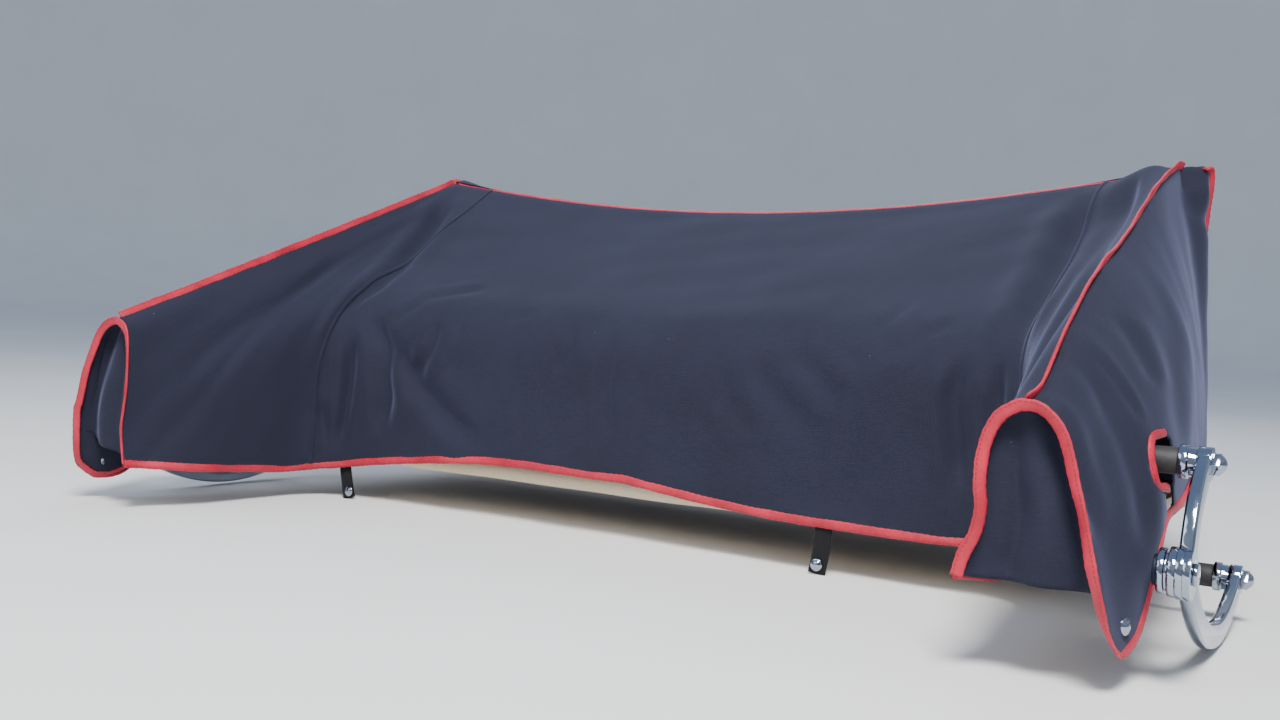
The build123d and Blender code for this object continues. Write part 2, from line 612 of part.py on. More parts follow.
def landau_studs():
    """Upper stud in the main link and lower stud for the body's side, both threaded for a nut."""
    tip = IRON_IN_X + ARM_THICK + STUD_IN_NUT
    start = BODY_SIDE_X - STUD_IN_BODY
    return Compound([rod(LINK_X, tip, UPPER_STUD, STUD_R), rod(start, tip, LOWER_STUD, STUD_R)])


def landau_spacers():
    """Black sleeves that hold the arms clear of the cover and of the body."""
    end = IRON_IN_X - WASHER_STACK
    solids = []
    for start, stud in ((LINK_X + LINK_THICK, UPPER_STUD), (BODY_SIDE_X, LOWER_STUD)):
        solids.append(rod(start, end, stud, SPACER_R) - rod(start - 1, end + 1, stud, STUD_R + FIT))
    return Compound(solids)


def landau_washers():
    """A wide and a narrow washer behind each arm."""
    start = IRON_IN_X - WASHER_STACK
    step = start + WASHER_STACK / 2
    solids = []
    for stud in (UPPER_STUD, LOWER_STUD):
        stack = rod(start, step, stud, WASHER_R) + rod(step, IRON_IN_X, stud, WASHER_R - WASHER_STEP)
        solids.append(stack - rod(start - 1, IRON_IN_X + 1, stud, STUD_R + FIT))
    return Compound(solids)


def landau_nuts():
    """Domed nuts: a hexagon under a cap cut from a sphere."""
    x0 = IRON_IN_X + ARM_THICK
    solids = []
    for stud in (UPPER_STUD, LOWER_STUD):
        plane = Plane(origin=(x0, stud[0], stud[1]), x_dir=(0, 1, 0), z_dir=(1, 0, 0))
        nut = extrude(plane * RegularPolygon(NUT_R, 6), amount=NUT_HEX)
        nut += domed_cap(x0 + NUT_HEX, stud, NUT_DOME_R, NUT_LENGTH - NUT_HEX)
        solids.append(nut - rod(x0 - 1, x0 + STUD_IN_NUT + FIT, stud, STUD_R + FIT))
    return Compound(solids)


def behind_corners(low, high):
    """Space behind the top and between the rear corners, where the sides are sewn to the back."""
    wide = PEAK_HALF + SIDE_AT_BACK.foot
    right = [
        (PEAK_HALF, PEAK_Y),
        *[(PEAK_HALF + row.side.edge, row.y) for row in SWELLS],
        (PEAK_HALF + SIDE_AT_BACK.edge, BACK_Y - CLOTH),
        (wide, BACK_Y),
        (wide, BACK_Y + BEYOND),
    ]
    outline = Polyline(*right, *[(-x, y) for x, y in right[::-1]], close=True)
    return extrude(Plane.XY.offset(low) * make_face(outline), high - low)


def cover_panels():
    """The cover as its sewn panels, which meet at the bound edges."""
    stack, right_arm, left_arm = envelope(0)
    shell = stack + right_arm + left_arm
    for hollow in envelope(CLOTH):
        shell -= hollow
    wide = IRON_IN_X
    low, high = FOOT_Z - BEYOND, PEAK_Z + BEYOND
    front_y, apex_y, back_y = APEX_Y - BEYOND, APEX_Y + CLOTH, BACK_Y + BEYOND
    inner, outer = (-PEAK_HALF, PEAK_HALF), (PEAK_HALF, wide)
    shell -= slab(inner, (apex_y, PEAK_Y), (low, FRONT_HEM_Z))
    shell -= slab((-wide, wide), (front_y, apex_y), (low, GUSSET_HEM_Z))
    shell -= behind_corners(low, BACK_HEM_Z)
    rear = behind_corners(low, high)
    side = (shell & slab(outer, (apex_y, back_y), (low, high))) - rear
    below_hem = [*SIDE_HEM, (back_y, BACK_HEM_Z), (back_y, low), (apex_y, low)]
    side -= side_profile(below_hem, PEAK_HALF, wide)
    side -= rod(PEAK_HALF, wide, UPPER_STUD, SLOT_HALF)
    side -= slab(outer, (UPPER_STUD[0] - SLOT_HALF, UPPER_STUD[0] + SLOT_HALF), (low, UPPER_STUD[1]))
    middle = shell & slab(inner, (apex_y, PEAK_Y), (low, high))
    back = shell & rear
    gusset = shell & slab((0, wide), (front_y, apex_y), (low, high))
    return middle, back, side, gusset


def cover_straps():
    """Webbing straps that hang from the front hem."""
    y1 = SHOULDER_Y + CLOTH
    return Compound([
        slab((x - STRAP_WIDTH / 2, x + STRAP_WIDTH / 2), (y1, y1 + STRAP_THICK),
             (FRONT_HEM_Z - STRAP_DROP, FRONT_HEM_Z + STRAP_LAP)) for x in STRAP_X])


def cover_snaps():
    """Press-stud caps on the straps."""
    z = FRONT_HEM_Z - STRAP_DROP + STRAP_WIDTH / 2
    y1 = SHOULDER_Y + CLOTH
    plane = Plane(origin=(0, y1, 0), x_dir=(1, 0, 0), z_dir=(0, -1, 0))
    return Compound([extrude(plane * Pos(x, z) * Circle(SNAP_R), SNAP_THICK) for x in STRAP_X])


write("tack_rail", tack_rail())
write_pair("pivot_bracket", pivot_bracket())
write_pair("pivot_pin", pivot_pin())
write_pair("main_link", main_link())
write_pair("rear_cantrail", rear_cantrail())
write_pair("front_cantrail", front_cantrail())
write_pair("hinge_pins", hinge_pins())
write("header_board", header_board())
for row in BOWS:
    write(row.name, bow(row))
write_pair("bow_irons", Compound([bow_iron(row) for row in BOWS]))
write("folded_roof_cloth", folded_roof_cloth())
write("folded_headlining", folded_headlining())
write("folded_back_curtain", folded_back_curtain())
upper_arm, lower_arm = landau_arms()
write_pair("landau_upper_arm", upper_arm)
write_pair("landau_lower_arm", lower_arm)
write_pair("landau_knuckle", landau_knuckle())
write_pair("landau_studs", landau_studs())
write_pair("landau_spacers", landau_spacers())
write_pair("landau_washers", landau_washers())
write_pair("landau_nuts", landau_nuts())
main_panel, back_panel, side_panel, gusset = cover_panels()
write("cover_main_panel", main_panel)
write("cover_back_panel", back_panel)
write_pair("cover_side_panel", side_panel)
write_pair("cover_gusset", gusset)
write("cover_straps", cover_straps())
write("cover_snaps", cover_snaps())
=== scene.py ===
import json
import math
from contextlib import contextmanager

import bmesh
import bpy
import numpy as np
from mathutils import Matrix, Vector
from mathutils.bvhtree import BVHTree

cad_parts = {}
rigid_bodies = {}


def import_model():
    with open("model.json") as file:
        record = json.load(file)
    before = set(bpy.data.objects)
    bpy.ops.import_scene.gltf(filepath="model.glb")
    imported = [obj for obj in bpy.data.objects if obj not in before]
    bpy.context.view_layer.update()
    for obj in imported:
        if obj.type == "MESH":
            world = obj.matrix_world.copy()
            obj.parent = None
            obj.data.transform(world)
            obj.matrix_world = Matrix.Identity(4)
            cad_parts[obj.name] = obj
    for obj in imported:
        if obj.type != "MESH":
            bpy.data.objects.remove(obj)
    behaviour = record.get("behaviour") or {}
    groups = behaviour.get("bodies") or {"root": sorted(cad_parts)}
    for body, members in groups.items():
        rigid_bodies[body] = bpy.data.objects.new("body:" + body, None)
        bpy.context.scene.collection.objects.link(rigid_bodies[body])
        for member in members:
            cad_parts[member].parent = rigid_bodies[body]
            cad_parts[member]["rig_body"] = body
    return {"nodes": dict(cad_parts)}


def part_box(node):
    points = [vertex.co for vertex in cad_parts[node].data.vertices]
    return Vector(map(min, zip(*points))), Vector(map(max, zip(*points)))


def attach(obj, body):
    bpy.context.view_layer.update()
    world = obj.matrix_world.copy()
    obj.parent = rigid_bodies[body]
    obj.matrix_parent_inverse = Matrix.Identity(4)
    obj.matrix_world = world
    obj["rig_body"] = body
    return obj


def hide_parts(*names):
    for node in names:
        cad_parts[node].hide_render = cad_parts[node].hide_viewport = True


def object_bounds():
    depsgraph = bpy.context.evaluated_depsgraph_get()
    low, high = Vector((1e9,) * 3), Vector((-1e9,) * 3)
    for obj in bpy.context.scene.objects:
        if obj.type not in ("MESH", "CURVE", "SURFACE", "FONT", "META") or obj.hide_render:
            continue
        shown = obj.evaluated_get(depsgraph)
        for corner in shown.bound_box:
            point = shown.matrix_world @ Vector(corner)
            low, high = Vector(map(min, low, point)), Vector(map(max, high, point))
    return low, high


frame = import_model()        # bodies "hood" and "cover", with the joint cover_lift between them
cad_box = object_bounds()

# Metres. The car's front is -Y, its left is +X, up is +Z. The camera looks back from the cockpit.
SIDES = {"left": 1, "right": -1}
FLOOR_Z = cad_box[0][2] - 0.001

# Camera, solved from symmetric points of the cover
CAMERA = Vector((0.902, -1.84, 0.203))
YAW, PITCH, ROLL = (math.radians(a) for a in (32.10, -1.81, 2.94))
FOCAL_PX = 1272.0
FRAME_PX = 1280.0

# Cover: peak and apex of the bound ridges, on the left side
PEAK = np.array([0.605, -0.090, 0.432])
APEX = np.array([0.611, -0.760, 0.157])
TOP_SAG = 0.057
SHOULDER_Y = -0.430
ARM_FRONT_Y = -0.757
REAR_HALF = 0.633        # half the width of the cover's foot at the back
CLOTH_THICK = 0.0016
CLOTH_CLEAR = 0.003      # least distance of a cloth's middle from the hard parts below it
TOP_CORNER = 0.055       # length of the rounding between the top and the front
STRAP_WIDTH = 0.022

# Leather bindings, and the welt over the seam of the top and the arms
BINDING_WIDTH = 0.0115
BINDING_THICK = 0.0036
SLOT_WIDTH, SLOT_THICK = 0.0085, 0.0042
WELT_WIDTH, WELT_THICK = 0.0065, 0.0026
PUCKER_PITCH = 0.0085    # distance between the places where stitching draws a band in
STITCH_PITCH = 0.0042

WELD = 1e-6              # points of a mesh that lie closer together than this become one
REACH = 0.06             # how far below the top of a hard part a cloth is still found and lifted
WAVE_PERIOD = 0.314      # period of a wave texture at scale 1


# Curves and grids

def ease(k):
    """Smooth step from 0 to 1."""
    return 3 * k**2 - 2 * k**3


def unit(vectors):
    """The same directions with the length 1."""
    return vectors / np.linalg.norm(vectors, axis=-1, keepdims=True)


def mirrored(points, side):
    """Points of the left side, taken over to the side that is meant."""
    return np.array(points) * np.array([side, 1, 1])


def table(t, rows):
    """Smooth curve through a short table of (t, value) rows."""
    xs, ys = np.array(rows, float).T
    t = np.clip(t, xs[0], xs[-1])
    slopes = np.gradient(ys, xs)
    i = np.clip(np.searchsorted(xs, t, side="right") - 1, 0, len(xs) - 2)
    h = xs[i + 1] - xs[i]
    k = (t - xs[i]) / h
    return ((2 * k**3 - 3 * k**2 + 1) * ys[i] + (k**3 - 2 * k**2 + k) * h * slopes[i]
            + (3 * k**2 - 2 * k**3) * ys[i + 1] + (k**3 - k**2) * h * slopes[i + 1])


def lengths(points):
    """Distance along a line of points, from its first one."""
    return np.concatenate([[0.0], np.cumsum(np.linalg.norm(np.diff(points, axis=0), axis=1))])


def resample(points, count):
    """The same line with its points evenly spaced."""
    along = lengths(points)
    at = np.linspace(0, along[-1], count)
    return np.stack([np.interp(at, along, points[:, i]) for i in range(points.shape[1])], 1)


def at_index(line, k):
    """Point of a line at a place that is counted in points."""
    return np.array([np.interp(k, np.arange(len(line)), line[:, i]) for i in range(3)])


def bezier(a, b, c, d, count):
    """Curve that leaves a towards b and comes to d from c."""
    v = np.linspace(0, 1, count)[:, None]
    return (1 - v) ** 3 * a + 3 * v * (1 - v) ** 2 * b + 3 * v**2 * (1 - v) * c + v**3 * d


def smooth_line(points, spacing=0.003):
    """Catmull-Rom curve through a few points, evenly spaced."""
    p = np.array(points, float)
    ends = np.vstack([2 * p[0] - p[1], p, 2 * p[-1] - p[-2]])
    t = np.linspace(0, 1, 12, endpoint=False)[:, None]
    out = []
    for a, b, c, d in zip(ends, ends[1:], ends[2:], ends[3:]):
        out.append(0.5 * (2 * b + (c - a) * t + (2 * a - 5 * b + 4 * c - d) * t**2
                          + (3 * b - a - 3 * c + d) * t**3))
    line = np.vstack(out + [p[-1:]])
    return resample(line, max(4, int(lengths(line)[-1] / spacing)))


def evened(vectors, rounds):
    """Directions along a line, evened out between its ends."""
    for _ in range(rounds):
        vectors[1:-1] = (vectors[2:] + vectors[:-2]) / 2
    return vectors


def grid_normals(grid):
    """Unit normals of a grid of points, towards the left of the rows as they run on."""
    du = np.gradient(grid, axis=0)
    dv = np.gradient(grid, axis=1)
    n = np.cross(du, dv)
    return n / np.maximum(np.linalg.norm(n, axis=2, keepdims=True), 1e-9)


def around(grid):
    """Mean of the four neighbours of each inner point of a grid."""
    return (grid[2:, 1:-1] + grid[:-2, 1:-1] + grid[1:-1, 2:] + grid[1:-1, :-2]) / 4


def relax(grid, rounds, free):
    """Evens out a grid like a stretched membrane. free is 0 where a point is held."""
    weight = np.broadcast_to(free, grid.shape[:2])[1:-1, 1:-1, None]
    for _ in range(rounds):
        grid[1:-1, 1:-1] += (around(grid) - grid[1:-1, 1:-1]) * weight
    return grid


def hard_parts(names):
    """Search tree over the CAD parts that the cloth lies on."""
    points, faces = [], []
    for name in names:
        mesh = frame["nodes"][name].data
        start = len(points)
        points += [v.co.copy() for v in mesh.vertices]
        faces += [[start + i for i in p.vertices] for p in mesh.polygons]
    return BVHTree.FromPolygons(points, faces)


UNDER = hard_parts(
    ["header_board", "bow_front", "bow_middle", "bow_rear", "tack_rail"]
    + [f"{part}_{name}" for name in SIDES
       for part in ("front_cantrail", "rear_cantrail", "main_link", "bow_irons", "hinge_pins", "pivot_pin",
                    "pivot_bracket")])


def rest_on(grid, outward):
    """Lifts a cloth off the hard parts that it lies on. outward is the sign of its normals."""
    for _ in range(2):
        normal = grid_normals(grid) * outward
        lift = np.zeros(grid.shape[:2])
        for i, j in np.ndindex(lift.shape):
            n = Vector(normal[i, j])
            distance = UNDER.ray_cast(Vector(grid[i, j]) + n * REACH, -n, REACH + CLOTH_CLEAR)[3]
            if distance is not None:
                lift[i, j] = REACH + CLOTH_CLEAR - distance
        for _ in range(10):
            lift[1:-1, 1:-1] = np.maximum(lift[1:-1, 1:-1], around(lift))
        grid = grid + normal * lift[..., None]
    return grid


def ripples(a, b, size, seed):
    """Smooth uneven field between about -1 and 1, as a sum of seeded sine waves."""
    rng = np.random.default_rng(seed)
    out = np.zeros_like(a)
    for _ in range(9):
        turn, phase, k = rng.uniform(0, math.pi), rng.uniform(0, 2 * math.pi), rng.uniform(0.6, 1.6)
        out += np.sin(2 * math.pi * k / size * (a * math.cos(turn) + b * math.sin(turn)) + phase)
    return out / 4.5


def fold(a, b, points, width, depth, lip=0.45, ends=0.25):
    """Height of one fold whose valley follows points in the cloth's own a, b coordinates.
    The cloth rises again in a lip on both sides, higher on the left of the direction of travel."""
    p = np.array(points, float)
    along = lengths(p)
    best = np.full(a.shape, 1e9)
    signed = np.zeros_like(a)
    where = np.zeros_like(a)
    for i, (u, v) in enumerate(zip(p, p[1:])):
        run = v - u
        size = np.linalg.norm(run)
        k = np.clip(((a - u[0]) * run[0] + (b - u[1]) * run[1]) / size**2, 0, 1)
        dx, dy = a - u[0] - k * run[0], b - u[1] - k * run[1]
        d = np.hypot(dx, dy)
        near = d < best
        best = np.where(near, d, best)
        signed = np.where(near, np.sign(run[0] * dy - run[1] * dx) * d, signed)
        where = np.where(near, (along[i] + k * size) / along[-1], where)
    d = signed / width
    shape = (-np.exp(-d**2) + lip * np.exp(-((d - 1.9) / 1.1) ** 2)
             + 0.4 * lip * np.exp(-((d + 1.9) / 1.2) ** 2))
    taper = np.clip(np.minimum(where, 1 - where) / ends, 0.12, 1)
    beyond = np.exp(-np.maximum(best - 3.5 * width, 0) / width)
    return depth * shape * ease(taper) * beyond


# Blender objects

@contextmanager
def edited(mesh):
    """Opens a mesh for the tools of bmesh and writes it back."""
    bm = bmesh.new()
    bm.from_mesh(mesh)
    yield bm
    bm.to_mesh(mesh)
    bm.free()


def weld(bm, distance=WELD):
    """Joins points that lie at one place."""
    bmesh.ops.remove_doubles(bm, verts=bm.verts, dist=distance)


def as_mesh(name, grid, uv, closed=False):
    """Quad mesh of a grid of points, with the cloth's own coordinates as its UV map, in metres."""
    m, n = grid.shape[:2]
    wrap = m if closed else m - 1
    faces = [(i * n + j, (i + 1) % m * n + j, (i + 1) % m * n + j + 1, i * n + j + 1)
             for i in range(wrap) for j in range(n - 1)]
    mesh = bpy.data.meshes.new(name)
    mesh.from_pydata(grid.reshape(-1, 3).tolist(), [], faces)
    layer = mesh.uv_layers.new(name="UVMap")
    loops = np.empty(len(mesh.loops), int)
    mesh.loops.foreach_get("vertex_index", loops)
    layer.data.foreach_set("uv", uv.reshape(-1, 2)[loops].astype(np.float32).reshape(-1))
    mesh.polygons.foreach_set("use_smooth", [True] * len(mesh.polygons))
    return mesh


def add_object(name, data):
    """Puts a mesh, light or camera into the scene."""
    obj = bpy.data.objects.new(name, data)
    bpy.context.collection.objects.link(obj)
    return obj


def piece(mesh, material, body, replaced=(), name=None):
    """Puts a mesh into the scene as a piece that rides on a body and stands for CAD nodes."""
    obj = add_object(name or mesh.name, mesh)
    obj.data.materials.clear()
    obj.data.materials.append(material)
    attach(obj, body)
    if replaced:
        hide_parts(*replaced)
    return obj


def thicken(obj, thick):
    """Gives a sheet its thickness, half of it on either side."""
    mod = obj.modifiers.new("thickness", "SOLIDIFY")
    mod.thickness = thick
    mod.offset = 0.0


def cover_cloth(mesh, node):
    """One cloth of the cover, which stands for one CAD panel."""
    thicken(piece(mesh, COVER, "cover", [node]), CLOTH_THICK)


def strip_mesh(name, line, across, width, thick, pucker=0.0, seed=0, sides=12):
    """Band of even width with rounded edges along a line. across is its direction of width
    at each point; pucker is how much stitching draws it in and out."""
    count = len(line)
    along = lengths(line)
    tangent = np.gradient(line, axis=0)
    tangent = unit(np.gradient(line, axis=0))
    wide = unit(across - (across * tangent).sum(1, keepdims=True) * tangent)
    thin = np.cross(tangent, wide)
    zero = np.zeros(count)
    waves = 2 * math.pi * along / PUCKER_PITCH + 1.5 * ripples(along, zero, 0.06, seed)
    gather = pucker * (0.6 * np.sin(waves) + 0.8 * ripples(along, zero, 0.03, seed + 1))
    twist = 2.2 * pucker * ripples(along, zero, 0.11, seed + 2)
    wide, thin = (wide * np.cos(twist)[:, None] + thin * np.sin(twist)[:, None],
                  thin * np.cos(twist)[:, None] - wide * np.sin(twist)[:, None])
    theta = np.linspace(0, 2 * math.pi, sides + 1)
    c, s = np.cos(theta), np.sin(theta)
    flat = np.sign(c) * np.abs(c) ** 0.75
    full = np.sign(s) * np.abs(s) ** 0.85
    half_w = width / 2 * (1 + gather)
    half_t = thick / 2 * (1 + 1.4 * gather)
    grid = (line[:, None] + wide[:, None] * (half_w[:, None] * flat)[..., None]
            + thin[:, None] * (half_t[:, None] * full)[..., None])
    uv = np.stack(np.broadcast_arrays(along[:, None], (theta / (2 * math.pi))[None]), -1)
    mesh = as_mesh(name, grid, uv)
    with edited(mesh) as bm:
        weld(bm)
        bmesh.ops.holes_fill(bm, edges=[e for e in bm.edges if e.is_boundary], sides=0)
        bmesh.ops.recalc_face_normals(bm, faces=bm.faces)
        for face in bm.faces:
            face.smooth = True
    return mesh


# Materials

def set_ramp(node, stops):
    """Gives a colour ramp its places and colours."""
    elements = node.color_ramp.elements
    while len(elements) < len(stops):
        elements.new(0.5)
    for element, (place, colour) in zip(elements, stops):
        element.position = place
        element.color = (*colour, 1.0)


class Nodes:
    """Short way to write a material's node tree."""

    def __init__(self, name):
        self.material = bpy.data.materials.new(name)
        self.material.use_nodes = True
        self.tree = self.material.node_tree
        self.tree.nodes.clear()
        self.shader = self.add("ShaderNodeBsdfPrincipled")
        self.add("ShaderNodeOutputMaterial", {0: self.shader.outputs[0]})

    def feed(self, socket, value):
        """Links a socket to another one's output, or sets its constant. Colours are given without alpha."""
        if isinstance(value, bpy.types.NodeSocket):
            self.tree.links.new(value, socket)
        else:
            socket.default_value = (*value, 1.0) if socket.type == "RGBA" else value

    def add(self, kind, inputs=(), **settings):
        node = self.tree.nodes.new(kind)
        for key, value in settings.items():
            setattr(node, key, value)
        for key, value in dict(inputs).items():
            self.feed(node.inputs[key], value)
        return node

    def coordinate(self, kind, scale=(1, 1, 1)):
        source = self.add("ShaderNodeTexCoord").outputs[kind]
        return self.add("ShaderNodeMapping", {"Vector": source, "Scale": scale}).outputs[0]

    def noise(self, vector, scale, detail=3.0, rough=0.55):
        inputs = {"Vector": vector, "Scale": scale, "Detail": detail, "Roughness": rough}
        return self.add("ShaderNodeTexNoise", inputs).outputs["Fac"]

    def wave(self, vector, scale, distortion, detail, detail_scale, **settings):
        inputs = {"Vector": vector, "Scale": scale, "Distortion": distortion, "Detail": detail,
                  "Detail Scale": detail_scale}
        return self.add("ShaderNodeTexWave", inputs, **settings).outputs["Fac"]

    def cells(self, vector, scale):
        return self.add("ShaderNodeTexVoronoi", {"Vector": vector, "Scale": scale}).outputs["Distance"]

    def ramp(self, value, stops):
        node = self.add("ShaderNodeValToRGB", {"Fac": value})
        set_ramp(node, stops)
        return node.outputs["Color"]

    def math(self, kind, a, b=0.0):
        return self.add("ShaderNodeMath", {0: a, 1: b}, operation=kind).outputs[0]

    def total(self, *terms, base=0.0):
        """A constant, and values that are each taken times their own factor, added up."""
        out = base
        for value, factor in terms:
            out = self.math("ADD", self.math("MULTIPLY", value, factor), out)
        return out

    def mix(self, factor, a, b):
        return self.add("ShaderNodeMix", {0: factor, 6: a, 7: b}, data_type="RGBA").outputs[2]

    def bump(self, height, strength, distance, normal=None):
        inputs = {"Height": height, "Strength": strength, "Distance": distance}
        if normal is not None:
            inputs["Normal"] = normal
        return self.add("ShaderNodeBump", inputs).outputs[0]

    def set(self, **values):
        """Sets or links the shader's own sockets, with spaces written as underscores."""
        for key, value in values.items():
            self.feed(self.shader.inputs[key.replace("_", " ")], value)
        return self.material


def woven(name, dark, light, thread, sheen, sheen_tint, lint=0.0, rough=0.86):
    """Cloth in a twill of a given thread width, with uneven dye, slubs and a little lint."""
    n = Nodes(name)
    uv = n.coordinate("UV")
    warp = n.wave(uv, WAVE_PERIOD / thread / 1.414, 0.6, 1.0, 2.0, bands_direction="DIAGONAL")
    weft = n.wave(uv, WAVE_PERIOD / thread, 1.2, 1.0, 3.0, bands_direction="Y")
    slubs = n.noise(n.coordinate("UV", (1, 9, 1)), 60.0, 4.0)
    cloudy = n.noise(uv, 5.0, 4.0, 0.6)
    grain = n.noise(uv, 420.0, 2.0)
    shade = n.total((cloudy, 0.45), (slubs, 0.3), (grain, 0.25))
    colour = n.ramp(shade, ((0.34, dark), (0.66, light)))
    if lint:
        fleck = n.math("LESS_THAN", n.cells(uv, 24.0), 0.016)
        pale = tuple(min(1.0, c * 5 + 0.04) for c in light)
        colour = n.mix(n.math("MULTIPLY", fleck, lint), colour, pale)
    normal = n.bump(n.total((warp, 0.7), (weft, 0.3)), 0.30, 0.0004)
    normal = n.bump(n.noise(uv, 38.0, 5.0, 0.6), 0.25, 0.0016, normal)
    roughness = n.total((cloudy, 0.12), base=rough - 0.06)
    return n.set(Base_Color=colour, Roughness=roughness, Normal=normal, Sheen_Weight=sheen,
                 Sheen_Roughness=0.38, Sheen_Tint=sheen_tint, Specular_IOR_Level=0.2)


def leather(name, base, dark):
    """Grained leather binding with a row of stitches towards its outer edge, on both faces."""
    n = Nodes(name)
    parts = n.add("ShaderNodeSeparateXYZ", {"Vector": n.add("ShaderNodeTexCoord").outputs["UV"]})
    place = n.coordinate("Object")
    specks = n.noise(place, 240.0, 3.0)
    colour = n.ramp(n.total((n.noise(place, 26.0, 4.0), 0.7), (specks, 0.3)), ((0.36, dark), (0.62, base)))
    pitch = n.math("FRACT", n.math("DIVIDE", parts.outputs["X"], STITCH_PITCH))
    across = n.math("ABSOLUTE", n.math("SUBTRACT", n.math("PINGPONG", parts.outputs["Y"], 0.5), 0.16))
    thread = n.math("MULTIPLY", n.math("LESS_THAN", across, 0.022), n.math("LESS_THAN", pitch, 0.62))
    seam = n.math("LESS_THAN", across, 0.045)
    colour = n.mix(n.math("MULTIPLY", thread, 0.8), colour, tuple(c * 0.45 for c in base))
    normal = n.bump(n.cells(place, 950.0), 0.25, 0.0004)
    normal = n.bump(n.math("SUBTRACT", thread, n.math("MULTIPLY", seam, 0.7)), 0.8, 0.0007, normal)
    normal = n.bump(n.noise(n.coordinate("UV"), 110.0, 3.0), 0.45, 0.0012, normal)
    return n.set(Base_Color=colour, Roughness=n.total((specks, 0.2), base=0.36), Normal=normal,
                 Specular_IOR_Level=0.5)


def metal(name, tint, rough, smudge, bump):
    """Plated metal with faint polishing marks and smudges."""
    n = Nodes(name)
    marks = n.noise(n.coordinate("Object", (1, 14, 1)), 90.0, 4.0)
    cloudy = n.noise(n.coordinate("Object"), 22.0, 4.0, 0.6)
    roughness = n.total((cloudy, smudge), (marks, smudge * 0.5), base=rough)
    colour = n.ramp(cloudy, ((0.3, tuple(c * 0.9 for c in tint)), (0.7, tint)))
    return n.set(Base_Color=colour, Metallic=1.0, Roughness=roughness, Normal=n.bump(marks, bump, 0.0003))


def enamel(name, colour, rough, coat):
    """Enamel over steel, or a moulded skin, slightly dusty."""
    n = Nodes(name)
    place = n.coordinate("Object")
    dusty = tuple(c * 2.2 + 0.01 for c in colour)
    dust = n.ramp(n.noise(place, 46.0, 6.0, 0.7), ((0.45, colour), (0.85, dusty)))
    normal = n.bump(n.noise(place, 160.0, 3.0), 0.12, 0.0006)
    roughness = n.total((n.noise(place, 14.0, 4.0), 0.18), base=rough)
    return n.set(Base_Color=dust, Roughness=roughness, Normal=normal, Coat_Weight=coat, Coat_Roughness=0.12)


def timber(name, early, late, along):
    """Varnished ash with its grain along one axis."""
    n = Nodes(name)
    scale = [9.0, 9.0, 9.0]
    scale["XYZ".index(along)] = 0.55
    rings = n.wave(n.coordinate("Object", tuple(scale)), 1.5, 5.0, 3.0, 1.3, wave_type="RINGS",
                   rings_direction=along)
    pores = n.noise(n.coordinate("Object", tuple(s * 9 for s in scale)), 3.5, 3.0)
    figure = n.total((rings, 0.7), (pores, 0.3))
    middle = tuple((a + b) / 2 for a, b in zip(early, late))
    colour = n.ramp(figure, ((0.15, early), (0.55, middle), (0.92, late)))
    return n.set(Base_Color=colour, Roughness=n.total((pores, 0.2), base=0.32),
                 Normal=n.bump(figure, 0.18, 0.0006), Coat_Weight=0.25, Coat_Roughness=0.2)


# Colours are linear. Cloths: dark, light, thread width, sheen and its tint, lint, roughness
COVER = woven("cover_twill", (0.0115, 0.0125, 0.0235), (0.0215, 0.0235, 0.0440), 0.0010, 0.22,
              (0.42, 0.46, 0.78), 0.6)
HOOD_CLOTH = woven("hood_duck", (0.012, 0.013, 0.015), (0.026, 0.027, 0.031), 0.0012, 0.2,
                   (0.6, 0.6, 0.65), 0.3)
WOOL = woven("headlining_wool", (0.50, 0.40, 0.27), (0.68, 0.57, 0.42), 0.0011, 0.35,
             (1.0, 0.95, 0.85), 0.0, 0.9)
WEBBING = woven("strap_webbing", (0.006, 0.006, 0.007), (0.016, 0.016, 0.018), 0.0024, 0.15,
                (0.5, 0.5, 0.55), 0.2)
LEATHER = leather("binding_leather", (0.58, 0.011, 0.044), (0.38, 0.005, 0.021))
# The chrome's tint is darker and bluer than bare chrome: a painted reflection of a dark blue sky.
CHROME = metal("chrome_plate", (0.36, 0.40, 0.48), 0.030, 0.07, 0.04)
ENAMEL = enamel("black_enamel", (0.012, 0.012, 0.014), 0.28, 0.4)
SLEEVE = enamel("moulded_sleeve", (0.016, 0.016, 0.017), 0.55, 0.0)
ASH = (0.58, 0.41, 0.24), (0.33, 0.20, 0.10)
ASH_X = timber("ash_across", *ASH, "X")
ASH_Y = timber("ash_along", *ASH, "Y")


# The cover's main panel: top, front and the inner sides of the two arms

RIDGE_WAVE = {
    1: ((0, -0.012), (0.05, -0.022), (0.154, 0.0), (0.275, 0.018), (0.52, 0.015), (0.82, 0.018), (1, 0.004)),
    -1: ((0, 0.010), (0.5, 0.002), (1, -0.004)),
}
# Heights of the inner hem and of the fold above it, from the middle of the front to the arm's end
HEM_Z = {
    1: ((0, -0.012), (0.35, -0.030), (0.7, -0.034), (1, -0.030), (1.5, -0.028), (2, -0.008)),
    -1: ((0, -0.012), (0.45, -0.012), (0.8, -0.032), (1, -0.047), (1.5, -0.044), (2, -0.030)),
}
FOLD_Z = ((0, 0.194), (0.9, 0.202), (1, 0.206), (1.5, 0.132), (2, 0.096))
HEM_CORNER, HEM_END = (0.559, SHOULDER_Y), (0.560, ARM_FRONT_Y)
FOLD_CORNER, FOLD_END = (0.521, SHOULDER_Y), (0.574, ARM_FRONT_Y)
# Seam of the top and the arms: place across the cloth at each distance down it
SEAM = ((0, 0.462), (0.09, 0.474), (0.20, 0.498), (0.30, 0.518), (0.36, 0.533), (0.41, 0.552), (0.46, 0.563),
        (0.54, 0.561), (0.66, 0.553))


